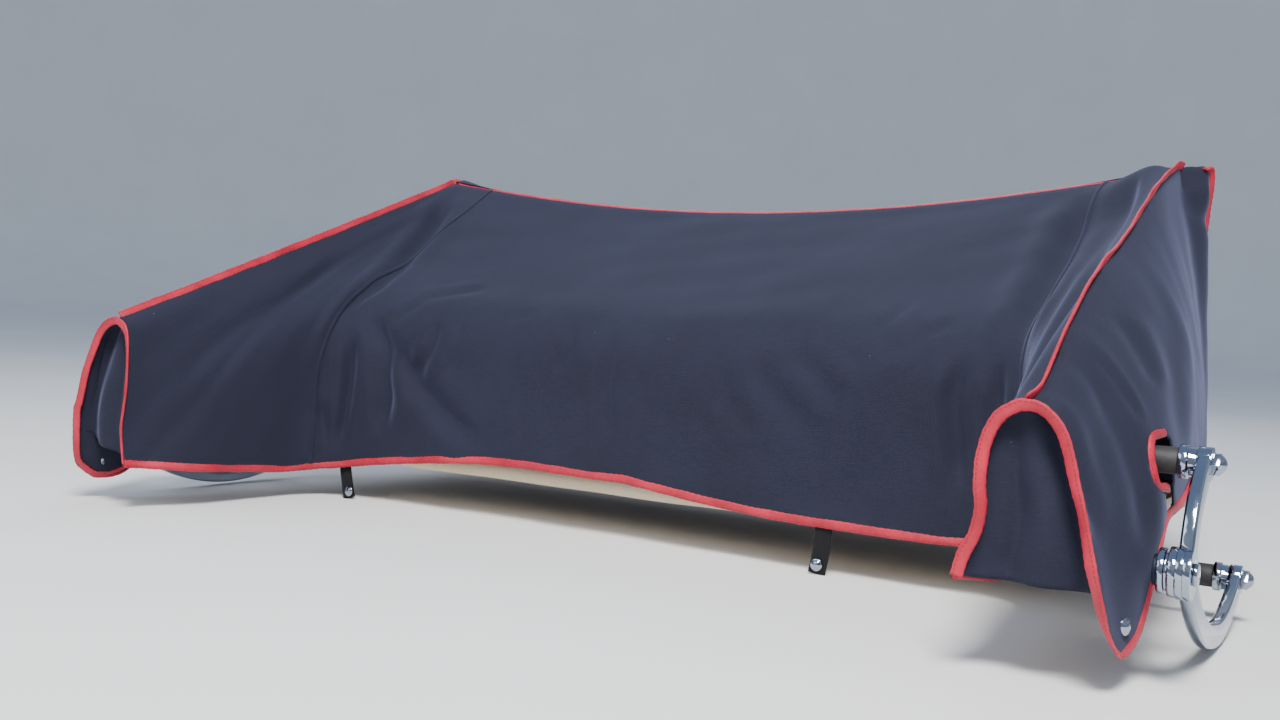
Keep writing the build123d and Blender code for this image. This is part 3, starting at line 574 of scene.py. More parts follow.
# Binding round the end of each arm, from the inner hem over the top to the tab, seen from the front
ARCH = {
    1: ((0.556, -0.006), (0.561, 0.014), (0.570, 0.034), (0.574, 0.058), (0.572, 0.077), (0.573, 0.101),
        (0.578, 0.123), (0.588, 0.140), (0.604, 0.150), (0.619, 0.149), (0.636, 0.136), (0.646, 0.115),
        (0.653, 0.090), (0.662, 0.061), (0.670, 0.025), (0.678, -0.010)),
    -1: ((0.589, -0.030), (0.594, -0.015), (0.599, 0.018), (0.596, 0.045), (0.592, 0.073), (0.591, 0.115),
         (0.594, 0.145), (0.602, 0.160), (0.617, 0.168), (0.634, 0.164), (0.652, 0.151), (0.668, 0.124),
         (0.683, 0.094), (0.693, 0.060), (0.702, 0.030), (0.708, 0.004)),
}
ARCH_TOP = 8             # which of these points is the top


def arch(side, part):
    """One leg of the arch from its top down: "inner" or "outer"."""
    points = np.array([(side * x, ARM_FRONT_Y, z) for x, z in ARCH[side]])
    return smooth_line(points[ARCH_TOP::-1] if part == "inner" else points[ARCH_TOP:])


def ridge(side, t):
    """Bound ridge of one side, from the arch's top at 0 to the peak at 1."""
    t = np.asarray(t, float)
    p = APEX + (PEAK - APEX) * t[..., None]
    p[..., 2] += table(t, RIDGE_WAVE[side])
    x, z = ARCH[side][ARCH_TOP]
    start = np.array([x, ARM_FRONT_Y, z]) - APEX - np.array([0, 0, RIDGE_WAVE[side][0][1]])
    p += start * ((1 - t) ** 8)[..., None]
    p[..., 0] *= side
    return p


def bound_line(x):
    """Sagging line across the back of the top."""
    z = PEAK[2] - TOP_SAG + TOP_SAG * (x / PEAK[0]) ** 2 - 0.004 * (x / PEAK[0]) ** 8
    return np.stack([x, np.full_like(x, PEAK[1]), z], -1)


def round_corner(corner, end, radius, q):
    """Plan of a line from the middle round a corner to its end. q is 1 at the middle of the arc."""
    c, f = np.array(corner), np.array(end)
    out = (f - c) / np.linalg.norm(f - c)
    turn = math.acos(out[0])
    tangent = radius * math.tan(turn / 2)
    start = np.array([c[0] - tangent, c[1]])
    angle = np.linspace(0, turn, 16)
    arc = start + radius * np.stack([np.sin(angle), np.cos(angle) - 1], 1)
    line = np.vstack([[0.0, c[1]], arc, f])
    along = lengths(line)
    middle = (along[1] + along[len(arc)]) / 2
    at = np.where(q <= 1, q * middle, middle + (q - 1) * (along[-1] - middle))
    return np.stack([np.interp(at, along, line[:, i]) for i in (0, 1)], -1), at


def main_half(side, q, rows):
    """Columns of the main panel from its upper edge over the fold to the hem."""
    low, across = round_corner(HEM_CORNER, HEM_END, 0.090, q)
    mid, _ = round_corner(FOLD_CORNER, FOLD_END, 0.060, q)
    low = np.column_stack([low[:, 0] * side, low[:, 1], table(q, HEM_Z[side])])
    mid = np.column_stack([mid[:, 0] * side, mid[:, 1], table(q, FOLD_Z)])
    up = np.where((q <= 1)[:, None], bound_line(side * PEAK[0] * np.minimum(q, 1)),
                  ridge(side, np.clip(2 - q, 0, 1)))
    columns = []
    k = np.linspace(0, 1, 9)[:, None]
    for u, m, l in zip(up, mid, low):
        a, b = np.linalg.norm(u - m), np.linalg.norm(l - m)
        r = min(TOP_CORNER, 0.45 * a, 0.45 * b)
        bend = (1 - k) ** 2 * (m + (u - m) / a * r) + 2 * k * (1 - k) * m + k**2 * (m + (l - m) / b * r)
        columns.append(resample(np.vstack([u, bend, l]), rows))
    columns = np.array(columns)
    # the arm's end takes the shape of its arch
    end = resample(arch(side, "inner"), rows)
    near = ease(np.clip((q - 1.62) / 0.38, 0, 1))[:, None, None]
    return columns + (end - columns[-1]) * near, across * side


def down(grid):
    """Distance down each column of a grid."""
    return np.array([lengths(column) for column in grid])


# Folds of the main panel in its own coordinates: points, width, depth
MAIN_FOLDS = (
    (((-0.530, 0.01), (-0.512, 0.16), (-0.506, 0.29), (-0.512, 0.35), (-0.541, 0.412), (-0.546, 0.44),
      (-0.543, 0.475)), 0.015, 0.014),
    (((-0.518, 0.452), (-0.512, 0.52), (-0.512, 0.58), (-0.513, 0.635)), 0.0085, 0.015),
    (((-0.477, 0.400), (-0.474, 0.43), (-0.452, 0.46), (-0.440, 0.53), (-0.446, 0.60)), 0.0165, 0.014),
    (((-0.455, 0.43), (-0.420, 0.46), (-0.370, 0.50), (-0.300, 0.54), (-0.235, 0.57)), 0.019, 0.010),
    (((-0.494, 0.385), (-0.499, 0.41), (-0.508, 0.44)), 0.0065, 0.0045),
    (((-0.397, 0.365), (-0.420, 0.389), (-0.450, 0.420)), 0.0065, 0.0060),
    (((-0.300, 0.310), (-0.350, 0.335), (-0.400, 0.362), (-0.425, 0.372)), 0.009, 0.0035),
    (((-0.352, 0.395), (-0.356, 0.443), (-0.382, 0.490)), 0.009, 0.0080),
    (((-0.304, 0.395), (-0.306, 0.435), (-0.316, 0.480)), 0.008, 0.0055),
    (((-0.556, 0.545), (-0.545, 0.59), (-0.534, 0.632)), 0.0060, 0.0090),
    (((-0.103, 0.368), (-0.103, 0.405), (-0.118, 0.450)), 0.0075, 0.0062),
    (((-0.030, 0.372), (-0.038, 0.444), (-0.034, 0.54)), 0.010, 0.0070),
    (((-0.232, 0.380), (-0.205, 0.372), (-0.180, 0.362)), 0.008, 0.0030),
    (((0.235, 0.392), (0.282, 0.434), (0.320, 0.480)), 0.016, 0.0046),
    (((0.155, 0.410), (0.155, 0.464), (0.172, 0.483), (0.205, 0.515)), 0.014, 0.0036),
    (((0.182, 0.400), (0.218, 0.453), (0.253, 0.485), (0.285, 0.520)), 0.019, 0.0040),
    (((0.315, 0.400), (0.342, 0.432)), 0.012, 0.0026),
    (((0.350, 0.420), (0.385, 0.400), (0.408, 0.384), (0.450, 0.364)), 0.010, 0.0042),
    (((0.356, 0.372), (0.357, 0.318)), 0.008, 0.0030),
    (((0.455, 0.02), (0.470, 0.10), (0.492, 0.20), (0.512, 0.30), (0.53, 0.37), (0.548, 0.44)), 0.017, 0.015),
    (((0.515, 0.43), (0.508, 0.50), (0.512, 0.60)), 0.011, 0.011),
    (((0.470, 0.41), (0.455, 0.47), (0.462, 0.58)), 0.012, 0.011),
    (((-0.60, 0.14), (-0.68, 0.17), (-0.80, 0.16)), 0.040, 0.0060),
    (((-0.66, 0.20), (-0.76, 0.23), (-0.84, 0.22)), 0.022, 0.0030),
    (((0.60, 0.12), (0.68, 0.17), (0.80, 0.17)), 0.040, 0.0060),
)
# Puff of the cloth beside a peak: its place and spread across and down, and its height on each side
PUFF_AT, PUFF_SPREAD = (0.530, 0.045), (0.055, 0.045)
PUFF_HEIGHT = {1: 0.027, -1: 0.004}


def main_panel():
    """Grid of the main panel with its own coordinates across and down."""
    q = np.concatenate([np.linspace(0, 1, 95), np.linspace(1, 2, 62)[1:]])
    rows = 108
    right, across_r = main_half(-1, q, rows)
    left, across_l = main_half(1, q, rows)
    grid = np.concatenate([right[::-1][:-1], left])
    across = np.concatenate([across_r[::-1][:-1], across_l])
    a = np.repeat(across[:, None], rows, 1)
    b = down(grid)
    free = np.clip(1.25 - np.abs(np.abs(a) / 0.60 - 1) / 0.30, 0, 1) * np.clip(b / 0.10, 0, 1)
    grid = relax(relax(grid, 50, 0.9 * free), 5, 0.9)
    height = sum(fold(a, b, *row) for row in MAIN_FOLDS)
    sag = np.clip(b / 0.04, 0, 1) * np.clip((b.max(1, keepdims=True) - b) / 0.03, 0, 1)
    height += 0.0022 * sag * ripples(a, b, 0.45, 3) + 0.0007 * sag * ripples(a, b, 0.13, 4)
    height += 0.0040 * np.clip((b - 0.40) / 0.1, 0, 1) * ripples(a, b * 0.25, 0.15, 5)
    beside, below = np.abs(a) - PUFF_AT[0], b - PUFF_AT[1]
    puff = np.exp(-(beside / PUFF_SPREAD[0]) ** 2 - (below / PUFF_SPREAD[1]) ** 2)
    height += PUFF_HEIGHT[1] * puff * (a > 0) + PUFF_HEIGHT[-1] * puff * (a < 0)
    grid = grid - grid_normals(grid) * height[..., None] * np.minimum(1, b / 0.014)[..., None]
    return relax(rest_on(grid, -1), 2, 0.6), a, b


def on_grid(grid, a, b, line):
    """Points of a grid at places given in the cloth's own coordinates."""
    out = []
    for s, w in line:
        i = np.interp(s, a[:, 0], np.arange(len(a)))
        lo = min(int(i), len(a) - 2)
        k = i - lo
        j = np.interp(w, b[lo] * (1 - k) + b[lo + 1] * k, np.arange(b.shape[1]))
        jo = min(int(j), b.shape[1] - 2)
        m = j - jo
        cell = grid[lo:lo + 2, jo:jo + 2]
        before, after = ((1 - m) * cell[n, 0] + m * cell[n, 1] for n in (0, 1))
        out.append((1 - k) * before + k * after)
    return np.array(out)


main, main_a, main_b = main_panel()
main_normal = -grid_normals(main)
cover_cloth(as_mesh("cover_main_cloth", main, np.stack([main_a, main_b], -1)), "cover_main_panel")


def seam_welt(side):
    """Line of the welt over the seam between the top and one arm, and its direction of width."""
    foot = np.interp(side * SEAM[-1][1], main_a[:, 0], main_b[:, -1]) - 0.011
    w = np.linspace(0.004, foot, 180)
    s = table(w, SEAM) * side
    line = on_grid(main, main_a, main_b, np.stack([s, w], 1))
    normal = on_grid(main_normal, main_a, main_b, np.stack([s, w], 1))
    return line + normal * 0.0012, np.cross(np.gradient(line, axis=0), normal)


for name, side in SIDES.items():
    mesh = strip_mesh(f"seam_welt_{name}", *seam_welt(side), WELT_WIDTH, WELT_THICK, 0.05, 11 + side)
    piece(mesh, COVER, "cover")


# Bindings of the ridges, the bound line and the inner hem

def edge_binding(name, line, across, seed, inset=0.0035, pucker=0.07):
    """Leather folded over a cloth edge. across points out of the cloth, away from its edge."""
    across = unit(across)
    mesh = strip_mesh(name, line - across * inset, across, BINDING_WIDTH, BINDING_THICK, pucker, seed)
    piece(mesh, LEATHER, "cover")


def fine(line, spacing=0.0025):
    return resample(line, int(lengths(line)[-1] / spacing))


def spread(vectors, line, new_line):
    """Directions along a line, taken over to the same line with other points."""
    at = lengths(new_line) / lengths(new_line)[-1]
    old = lengths(line) / lengths(line)[-1]
    return np.stack([np.interp(at, old, vectors[:, i]) for i in range(3)], 1)


hem_fine = fine(main[:, -1])
edge_binding("binding_inner_hem", hem_fine, spread(main[:, -1] - main[:, -4], main[:, -1], hem_fine), 21)


def upper_binding():
    """Binding up one ridge, across the back and down the other ridge: its line and directions outward."""
    t = np.linspace(0.010, 0.975, 110)
    back = bound_line(np.linspace(-0.585, 0.585, 180))
    corner = {side: np.array([[side * 0.604, -0.087, 0.4330]]) for side in (-1, 1)}
    parts = [ridge(-1, t), corner[-1], back, corner[1], ridge(1, t)[::-1]]
    line = fine(smooth_line(np.vstack([part[::6] if len(part) > 1 else part for part in parts])))
    x = line[:, 0]
    on_ridge = (line[:, 1] < PEAK[1] - 0.010)[:, None]
    beside = np.stack([0.45 * np.sign(x), 0 * x - 0.25, 0 * x + 0.95], 1)
    return line, evened(np.where(on_ridge, beside, (0.0, 0.97, 0.25)), 30)


edge_binding("binding_upper", *upper_binding(), 22, -0.0030, 0.10)


# Side panels, with the slot for the landau iron's upper stud

REAR_CORNER = ((0.605, -0.090, 0.432), (0.622, -0.074, 0.4350), (0.635, -0.052, 0.424), (0.622, -0.012, 0.30),
               (0.632, 0.007, 0.205), (0.633, 0.019, 0.13), (0.633, 0.031, 0.045), (REAR_HALF, 0.033, -0.004))
REAR_BINDING = ((0.627, -0.068, 0.4340), (0.635, -0.050, 0.424), REAR_CORNER[3], (0.628, 0.009, 0.205),
                (0.629, 0.021, 0.13), *REAR_CORNER[6:])
# Front edge of the tab, from the arch's outer leg down to its tip
TAB_EDGE = ((0.684, -0.746, -0.030), (0.688, -0.728, -0.050), (0.690, -0.712, -0.060))
# Hem of the side panel from the tab's tip back to the rear corner
SIDE_HEM = ((0.690, -0.712, -0.060), (0.691, -0.694, -0.059), (0.693, -0.676, -0.052),
            (0.695, -0.664, -0.038), (0.697, -0.654, -0.020), (0.699, -0.641, 0.000), (0.699, -0.620, 0.026),
            (0.698, -0.590, 0.045), (0.698, -0.518, 0.052), (0.696, -0.435, 0.068), (0.682, -0.300, 0.064),
            (0.661, -0.150, 0.048), (0.650, -0.040, 0.030), (REAR_HALF, 0.033, -0.004))
# Binding round the slot for the landau iron's stud, in side view
SLOT = ((-0.574, 0.123), (-0.598, 0.122), (-0.615, 0.119), (-0.624, 0.109), (-0.627, 0.095), (-0.626, 0.083),
        (-0.616, 0.076), (-0.600, 0.075), (-0.590, 0.073))
SLOT_MIDDLE = (-0.598, 0.097)
# Opening in the cloth below that binding, in side view like the slot
SLOT_CUT = [(-0.564, 0.118), *SLOT[1:7], (-0.600, 0.070), (-0.596, 0.030), (-0.575, 0.030),
            (-0.568, 0.066)]
# Soft pleats of the side panels: points in side view, width, depth
SIDE_FOLDS = (
    (((-0.742, 0.215), (-0.745, 0.157), (-0.742, 0.092), (-0.735, 0.030)), 0.012, 0.005),
    (((-0.668, 0.235), (-0.657, 0.155), (-0.655, 0.089), (-0.662, 0.010)), 0.018, 0.005),
    (((-0.640, 0.20), (-0.618, 0.129)), 0.006, 0.003),
    (((-0.400, 0.285), (-0.470, 0.22), (-0.520, 0.15), (-0.545, 0.08)), 0.026, 0.0025),
    (((-0.560, 0.235), (-0.560, 0.16)), 0.016, 0.003),
    (((-0.330, 0.24), (-0.372, 0.17), (-0.390, 0.09)), 0.030, 0.0020),
    (((-0.190, 0.35), (-0.215, 0.25), (-0.230, 0.08)), 0.034, 0.0016),
    (((-0.105, 0.385), (-0.060, 0.37), (-0.020, 0.375)), 0.014, 0.0030),
)
# The panel's columns: the share of them that start at the ridge and not at the rear corner, and the foot's
# place along the car at the first one, at the peak and at the last one
RIDGE_SHARE = 0.62
FOOT_Y = (-0.712, -0.160, 0.033)
# Swell of the panel as a share of how far it reaches out, between two places along it
SWELL_PLACES, SWELL = (0.30, 0.60), (0.80, 0.25)
# Where the tab's outline is drawn for an arch's foot at TAB_X, and where it stops following the arch
TAB_X, TAB_BACK, TAB_DEEP = 0.680, -0.668, 0.05


def below_arch(side, points):
    """Points of the tab's outline moved out or in, so that its front edge goes on from this side's arch."""
    points = np.array(points)
    points[:, 0] += (ARCH[side][-1][0] - TAB_X) * np.clip((TAB_BACK - points[:, 1]) / TAB_DEEP, 0, 1)
    return mirrored(points, side)


def front_edge(side):
    """Front edge of a side panel, from the arch's top to the tab's tip."""
    return smooth_line(np.vstack([arch(side, "outer")[:-6:5], below_arch(side, TAB_EDGE)]))


def side_hem(side):
    return smooth_line(below_arch(side, SIDE_HEM))


def side_panel(side):
    """Grid of one side panel from its upper edge down to its hem."""
    u = np.concatenate([np.linspace(0, RIDGE_SHARE, 118), np.linspace(RIDGE_SHARE, 1, 60)[1:]])
    top_ridge = resample(ridge(side, np.linspace(0, 1, 200)), 400)
    corner = resample(mirrored(smooth_line(REAR_CORNER), side), 400)
    hem = side_hem(side)
    hem_at = np.interp(np.interp(u, [0, RIDGE_SHARE, 1], FOOT_Y), hem[:, 1], np.arange(len(hem)))
    rows = 72
    out = []
    for ui, at in zip(u, hem_at):
        if ui <= RIDGE_SHARE:
            top = at_index(top_ridge, ui / RIDGE_SHARE * 399)
        else:
            top = at_index(corner, (ui - RIDGE_SHARE) / (1 - RIDGE_SHARE) * 399)
        low = at_index(hem, at)
        h = max(top[2] - low[2], 0.004)
        reach, run_back = abs(low[0] - top[0]), low[1] - top[1]
        swell = side * min(np.interp(ui, SWELL_PLACES, SWELL) * reach, 0.28 * h)
        c1 = top + np.array([swell, 0.2 * run_back, -0.24 * h])
        c2 = low + np.array([side * 0.004, -0.25 * run_back, 0.44 * h])
        out.append(resample(bezier(top, c1, c2, low, 40), rows))
    grid = np.array(out)
    near = ease(np.clip(1 - u / 0.20, 0, 1))[:, None, None]
    grid = grid + (resample(front_edge(side), rows) - grid[0]) * near
    free = np.full(grid.shape[:2], 0.8)
    free[:, :6] = 0
    grid = relax(grid, 14, free)
    a, b = grid[..., 1], grid[..., 2]
    height = sum(fold(a, b, *row) for row in SIDE_FOLDS)
    soft = np.clip((b.max(1, keepdims=True) - b) / 0.05, 0, 1)
    height += 0.0012 * soft * ripples(a, b, 0.26, 41 + side) + 0.0006 * soft * ripples(a, b, 0.09, 42 + side)
    return rest_on(grid + grid_normals(grid) * (-side * height)[..., None], -side)


def inside(points, y, z):
    """True where y, z lies inside a closed outline."""
    hit = np.zeros(y.shape, bool)
    for (ay, az), (by, bz) in zip(points, points[1:] + points[:1]):
        crosses = (az > z) != (bz > z)
        with np.errstate(divide="ignore", invalid="ignore"):
            hit ^= crosses & (y < (by - ay) * (z - az) / (bz - az) + ay)
    return hit


def cut_faces(mesh, outline):
    """Takes out the faces of a side panel whose middle lies in an outline in side view."""
    with edited(mesh) as bm:
        middles = np.array([face.calc_center_median() for face in bm.faces])
        gone = inside(outline, middles[:, 1], middles[:, 2])
        bmesh.ops.delete(bm, geom=[face for face, out in zip(bm.faces, gone) if out], context="FACES")


def surface_x(grid, y, z):
    """How far out a side panel lies at places in side view."""
    flat = grid.reshape(-1, 3)
    return np.array([flat[np.argmin((flat[:, 1] - a) ** 2 + (flat[:, 2] - b) ** 2), 0] for a, b in zip(y, z)])


def arch_binding(side):
    """Binding over the arch, round the tab and along the hem: its line and its directions outward."""
    start = np.vstack([arch(side, "inner")[::-1], front_edge(side)[1:]])
    line = fine(np.vstack([start, side_hem(side)[1:]]))
    past_tab = lengths(line) - lengths(start)[-1]
    k = np.clip((past_tab + 0.01) / 0.03, 0, 1)[:, None]
    on_hem = np.clip((past_tab - 0.06) / 0.03, 0, 1)[:, None]
    away = np.array([0.0, 0.75, -0.65]) * (1 - on_hem) + np.array([0.0, 0.15, -1.0]) * on_hem
    outward = unit(line - np.array([0.632 * side, -0.735, 0.03])) * (1 - k) + away * k
    line[:, 0] += 0.0014 * side * k[:, 0]
    return line, evened(outward, 24)


def slot_binding(side, grid):
    """Binding round the slot of a side panel: its line and its directions away from the slot."""
    y, z = np.array(SLOT).T
    rim = smooth_line(np.stack([surface_x(grid, y, z), y, z], 1))
    window = np.ones(13) / 13
    rim[:, 0] = np.convolve(np.pad(rim[:, 0], 6, mode="edge"), window, mode="valid") + 0.0008 * side
    out = unit(rim[:, 1:] - np.array(SLOT_MIDDLE)) * 0.012
    slope = surface_x(grid, rim[:, 1] + out[:, 0], rim[:, 2] + out[:, 1]) - rim[:, 0]
    return rim, np.column_stack([slope, out])


side_grids = {}
for name, side in SIDES.items():
    grid = side_panel(side)
    side_grids[name] = grid
    along = np.repeat(np.linspace(0, 0.9, len(grid))[:, None], grid.shape[1], 1)
    mesh = as_mesh(f"cover_side_cloth_{name}", grid, np.stack([along, down(grid)], -1))
    cut_faces(mesh, SLOT_CUT)
    cover_cloth(mesh, f"cover_side_panel_{name}")
    edge_binding(f"binding_arch_{name}", *arch_binding(side), 50 + side, 0.002, 0.06)
    corner = fine(mirrored(smooth_line(REAR_BINDING), side))
    across = np.tile([0.95 * side, 0.3, 0.1], (len(corner), 1))
    edge_binding(f"binding_rear_{name}", corner, across, 60 + side, -0.002)
    rim, across = slot_binding(side, grid)
    mesh = strip_mesh(f"binding_slot_{name}", rim, across, SLOT_WIDTH, SLOT_THICK, 0.08, 70 + side)
    piece(mesh, LEATHER, "cover")


# Gussets in the arms' ends

def gusset(side):
    """Grid of a gusset from the arch's inner leg to its outer one, hollow and a little bellied."""
    rows = 40
    inner = resample(arch(side, "inner"), rows)
    edge = front_edge(side)
    outer = resample(edge[edge[:, 2] > ARCH[side][-1][1]], rows)
    k = np.linspace(0, 1, 36)[:, None]
    grid = inner[None] * (1 - k[..., None]) + outer[None] * k[..., None]
    depth = (0.010 + 0.016 * k) * np.clip(np.minimum(k, 1 - k) / 0.05, 0, 1)
    grid[..., 1] += depth * np.clip(np.linspace(0, 8, rows), 0.3, 1)
    grid = relax(grid, 6, 0.8)
    v = np.linspace(0, 1, rows)[None]
    belly = np.exp(-((k - 0.62) / 0.16) ** 2) - 0.8 * np.exp(-((k - 0.34) / 0.10) ** 2)
    grid[..., 1] -= 0.008 * np.minimum(1, 1.6 * v) * belly
    grid[..., 1] -= 0.0012 * ripples(grid[..., 0], grid[..., 2], 0.08, 80 + side)
    return grid


for name, side in SIDES.items():
    grid = gusset(side)
    cover_cloth(as_mesh(f"cover_gusset_cloth_{name}", grid, grid[..., [0, 2]]), f"cover_gusset_{name}")


# Back panel

BACK_FOLDS = tuple(
    (((x, 0.385), (x + lean, 0.20), (x - lean, 0.02)), width, depth)
    for x, lean, width, depth in ((-0.434, 0.012, 0.034, 0.010), (-0.260, -0.014, 0.030, 0.009),
                                  (-0.087, 0.010, 0.036, 0.007), (0.087, -0.012, 0.030, 0.008),
                                  (0.260, 0.014, 0.036, 0.010), (0.434, -0.010, 0.032, 0.009),
                                  (0.575, 0.004, 0.018, 0.006), (-0.575, -0.004, 0.018, 0.006)))


def back_panel():
    """Grid of the back panel from the bound line down to the rail."""
    x = np.linspace(-PEAK[0], PEAK[0], 206)
    rows = 78
    corner = resample(smooth_line(REAR_CORNER), rows)
    out = []
    for xi in x:
        top = bound_line(np.array([xi]))[0]
        low = np.array([xi * REAR_HALF / PEAK[0], 0.034, -0.004])
        c1 = top + np.array([0.0, 0.070, 0.0])
        c2 = low + np.array([0.0, 0.0, 0.190])
        out.append(resample(bezier(top, c1, c2, low, 60), rows))
    grid = np.array(out)
    for side, end in ((-1, 0), (1, -1)):
        near = ease(np.clip((side * x / PEAK[0] - 0.72) / 0.28, 0, 1))[:, None, None]
        grid = grid + (mirrored(corner, side) - grid[end]) * near
    a, b = grid[..., 0], grid[..., 2]
    height = sum(fold(a, b, *row) for row in BACK_FOLDS)
    height += 0.0035 * ripples(a, b, 0.30, 90) + 0.0010 * ripples(a, b, 0.09, 91)
    fade = np.clip(down(grid) / 0.03, 0, 1) * np.clip((REAR_HALF - np.abs(a)) / 0.03, 0, 1)
    return rest_on(grid + grid_normals(grid) * (height * fade)[..., None], 1)


back = back_panel()
cover_cloth(as_mesh("cover_back_cloth", back, np.stack([back[..., 0], down(back)], -1)), "cover_back_panel")
foot = fine(back[:, -1])
edge_binding("binding_back_hem", foot, np.tile([0.0, 0.0, -1.0], (len(foot), 1)), 95)


# Straps and press studs

def lathe(name, profile, centre, axis, sides=40):
    """Turned piece from (radius, height) points, standing on centre along an axis."""
    r, h = np.array(profile, float).T
    theta = np.linspace(0, 2 * math.pi, sides + 1)
    x, y = r[:, None] * np.cos(theta), r[:, None] * np.sin(theta)
    grid = np.stack([x, y, np.repeat(h[:, None], sides + 1, 1)], -1)
    uv = np.stack(np.broadcast_arrays(h[:, None], theta[None]), -1)
    mesh = as_mesh(name, grid, uv)
    turn = Vector((0, 0, 1)).rotation_difference(Vector(axis)).to_matrix().to_4x4()
    mesh.transform(Matrix.Translation(Vector(centre)) @ turn)
    with edited(mesh) as bm:
        weld(bm)
        bmesh.ops.recalc_face_normals(bm, faces=bm.faces)
    return mesh


# Press stud: radius and height from its foot to its dome
SNAP = ((0.0, 0.0), (0.0074, 0.0), (0.0078, 0.0006), (0.0076, 0.0012), (0.0066, 0.0017), (0.0056, 0.0019),
        (0.0050, 0.0028), (0.0036, 0.0037), (0.0018, 0.0042), (0.0, 0.0043))
# Straps: place across the car, and how far each half of one leans
STRAPS = ((-0.505, 0.006), (0.288, -0.003))
STRAP_FOOT_Z = -0.092
TAB_SNAP = (-0.706, -0.036)


def hem_point(x):
    """Foot of the main panel's front at a place across the car."""
    i = int(np.argmin(np.abs(main[:, -1, 0] - x) + 10 * (main[:, -1, 1] < SHOULDER_Y - 0.004)))
    return main[i, -1]


def snap(name, centre, axis, replaced=()):
    """Chromed press stud."""
    piece(lathe(name, SNAP, centre, axis), CHROME, "cover", replaced)


for i, (x, lean) in enumerate(STRAPS):
    _, y, z = hem_point(x)
    line = smooth_line(((x, y + 0.006, z + 0.030), (x, y + 0.004, z), (x + lean, y + 0.005, z - 0.035),
                        (x + 2 * lean, y + 0.003, STRAP_FOOT_Z)))
    across = np.tile([1.0, 0.1, 0.0], (len(line), 1))
    mesh = strip_mesh(f"strap_{i + 1}", line, across, STRAP_WIDTH, 0.0024, 0.01, 100 + i)
    piece(mesh, WEBBING, "cover", ["cover_straps"])
    snap(f"strap_snap_{i + 1}", line[-1] + np.array([0.0, -0.0014, 0.011]), (0, -1, 0.05), ["cover_snaps"])

for name, side in SIDES.items():
    y, z = TAB_SNAP
    x = surface_x(side_grids[name], [y], [z])[0]
    snap(f"tab_snap_{name}", (x + 0.001 * side, y, z), (side, -0.35, 0.1))


# Hard parts, with their edges broken

def finished(node, material, bevel):
    """Copy of a hard CAD part with its edges broken, which stands for it."""
    source = frame["nodes"][node]
    mesh = source.data.copy()
    with edited(mesh) as bm:
        weld(bm, 2 * WELD)
        bmesh.ops.dissolve_limit(bm, angle_limit=math.radians(1.0), verts=bm.verts, edges=bm.edges)
        for face in bm.faces:
            face.smooth = True
    obj = piece(mesh, material, source["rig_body"], [node], f"{node}_finished")
    mod = obj.modifiers.new("edges", "BEVEL")
    mod.width = bevel
    mod.segments = 2
    mod.limit_method = "ANGLE"
    mod.angle_limit = math.radians(38)
    mod.harden_normals = True
    return obj


def grained(obj, joint):
    """Turns the grain along the car on both sides of a U-shaped ash piece, beyond its scarf joints."""
    with edited(obj.data) as bm:
        for x in (-joint, joint):
            bmesh.ops.bisect_plane(bm, geom=[*bm.verts, *bm.edges, *bm.faces], plane_co=(x, 0, 0),
                                   plane_no=(1, 0, 0))
        for face in bm.faces:
            face.material_index = int(abs(face.calc_center_median().x) > joint)
    obj.data.materials.append(ASH_Y)


# Hard parts of each side, with the width of their broken edges
HARD_PARTS = (
    (CHROME, "chrome", {"landau_upper_arm": 0.0009, "landau_lower_arm": 0.0009, "landau_knuckle": 0.0007,
                        "landau_studs": 0.0006, "landau_washers": 0.0009, "landau_nuts": 0.0007}),
    (SLEEVE, "black_sleeve", {"landau_spacers": 0.0012}),
    (ENAMEL, "black_steel", {"pivot_bracket": 0.0008, "pivot_pin": 0.0008, "main_link": 0.0010,
                             "rear_cantrail": 0.0012, "front_cantrail": 0.0012, "hinge_pins": 0.0008,
                             "bow_irons": 0.0008}),
)
for name in SIDES:
    for material, slot, bevels in HARD_PARTS:
        for part, bevel in bevels.items():
            finished(f"{part}_{name}", material, bevel)
finished("header_board", ASH_X, 0.0020)
for node, bevel, joint in (("tack_rail", 0.0015, 0.560), ("bow_front", 0.0020, 0.480),
                           ("bow_middle", 0.0020, 0.480), ("bow_rear", 0.0020, 0.480)):
    grained(finished(node, ASH_X, bevel), joint)


# Folded cloth under the cover

def half_turn(y, z, radius, towards, reach, count=7):
    """Fold of a cloth in side view, from its lower layer up to its upper one."""
    t = np.linspace(-math.pi / 2, math.pi / 2, count)
    return [(y + towards * reach * math.cos(a), z + radius * (1 + math.sin(a))) for a in t]


def run(start, end, count=6):
    """Points between two points in side view, without the ends."""
    return [tuple(p) for p in np.linspace(start, end, count + 2)[1:-1]]


def pleated(front, back, foot, top, loops):
    """Cloth folded to and fro between front and back, from the bottom up, in side view."""
    pitch = (top - foot) / (2 * loops)
    line = [(back, foot)]
    for i in range(loops):
        z = foot + 2 * i * pitch
        reach = 0.010 * (1 + 0.3 * math.sin(2.1 * i + 0.7))
        line += run(line[-1], (front, z)) + half_turn(front, z, pitch / 2, -1, reach)
        if i < loops - 1:
            line += run(line[-1], (back, z + pitch)) + half_turn(back, z + pitch, pitch / 2, 1, pitch / 2)
    return line


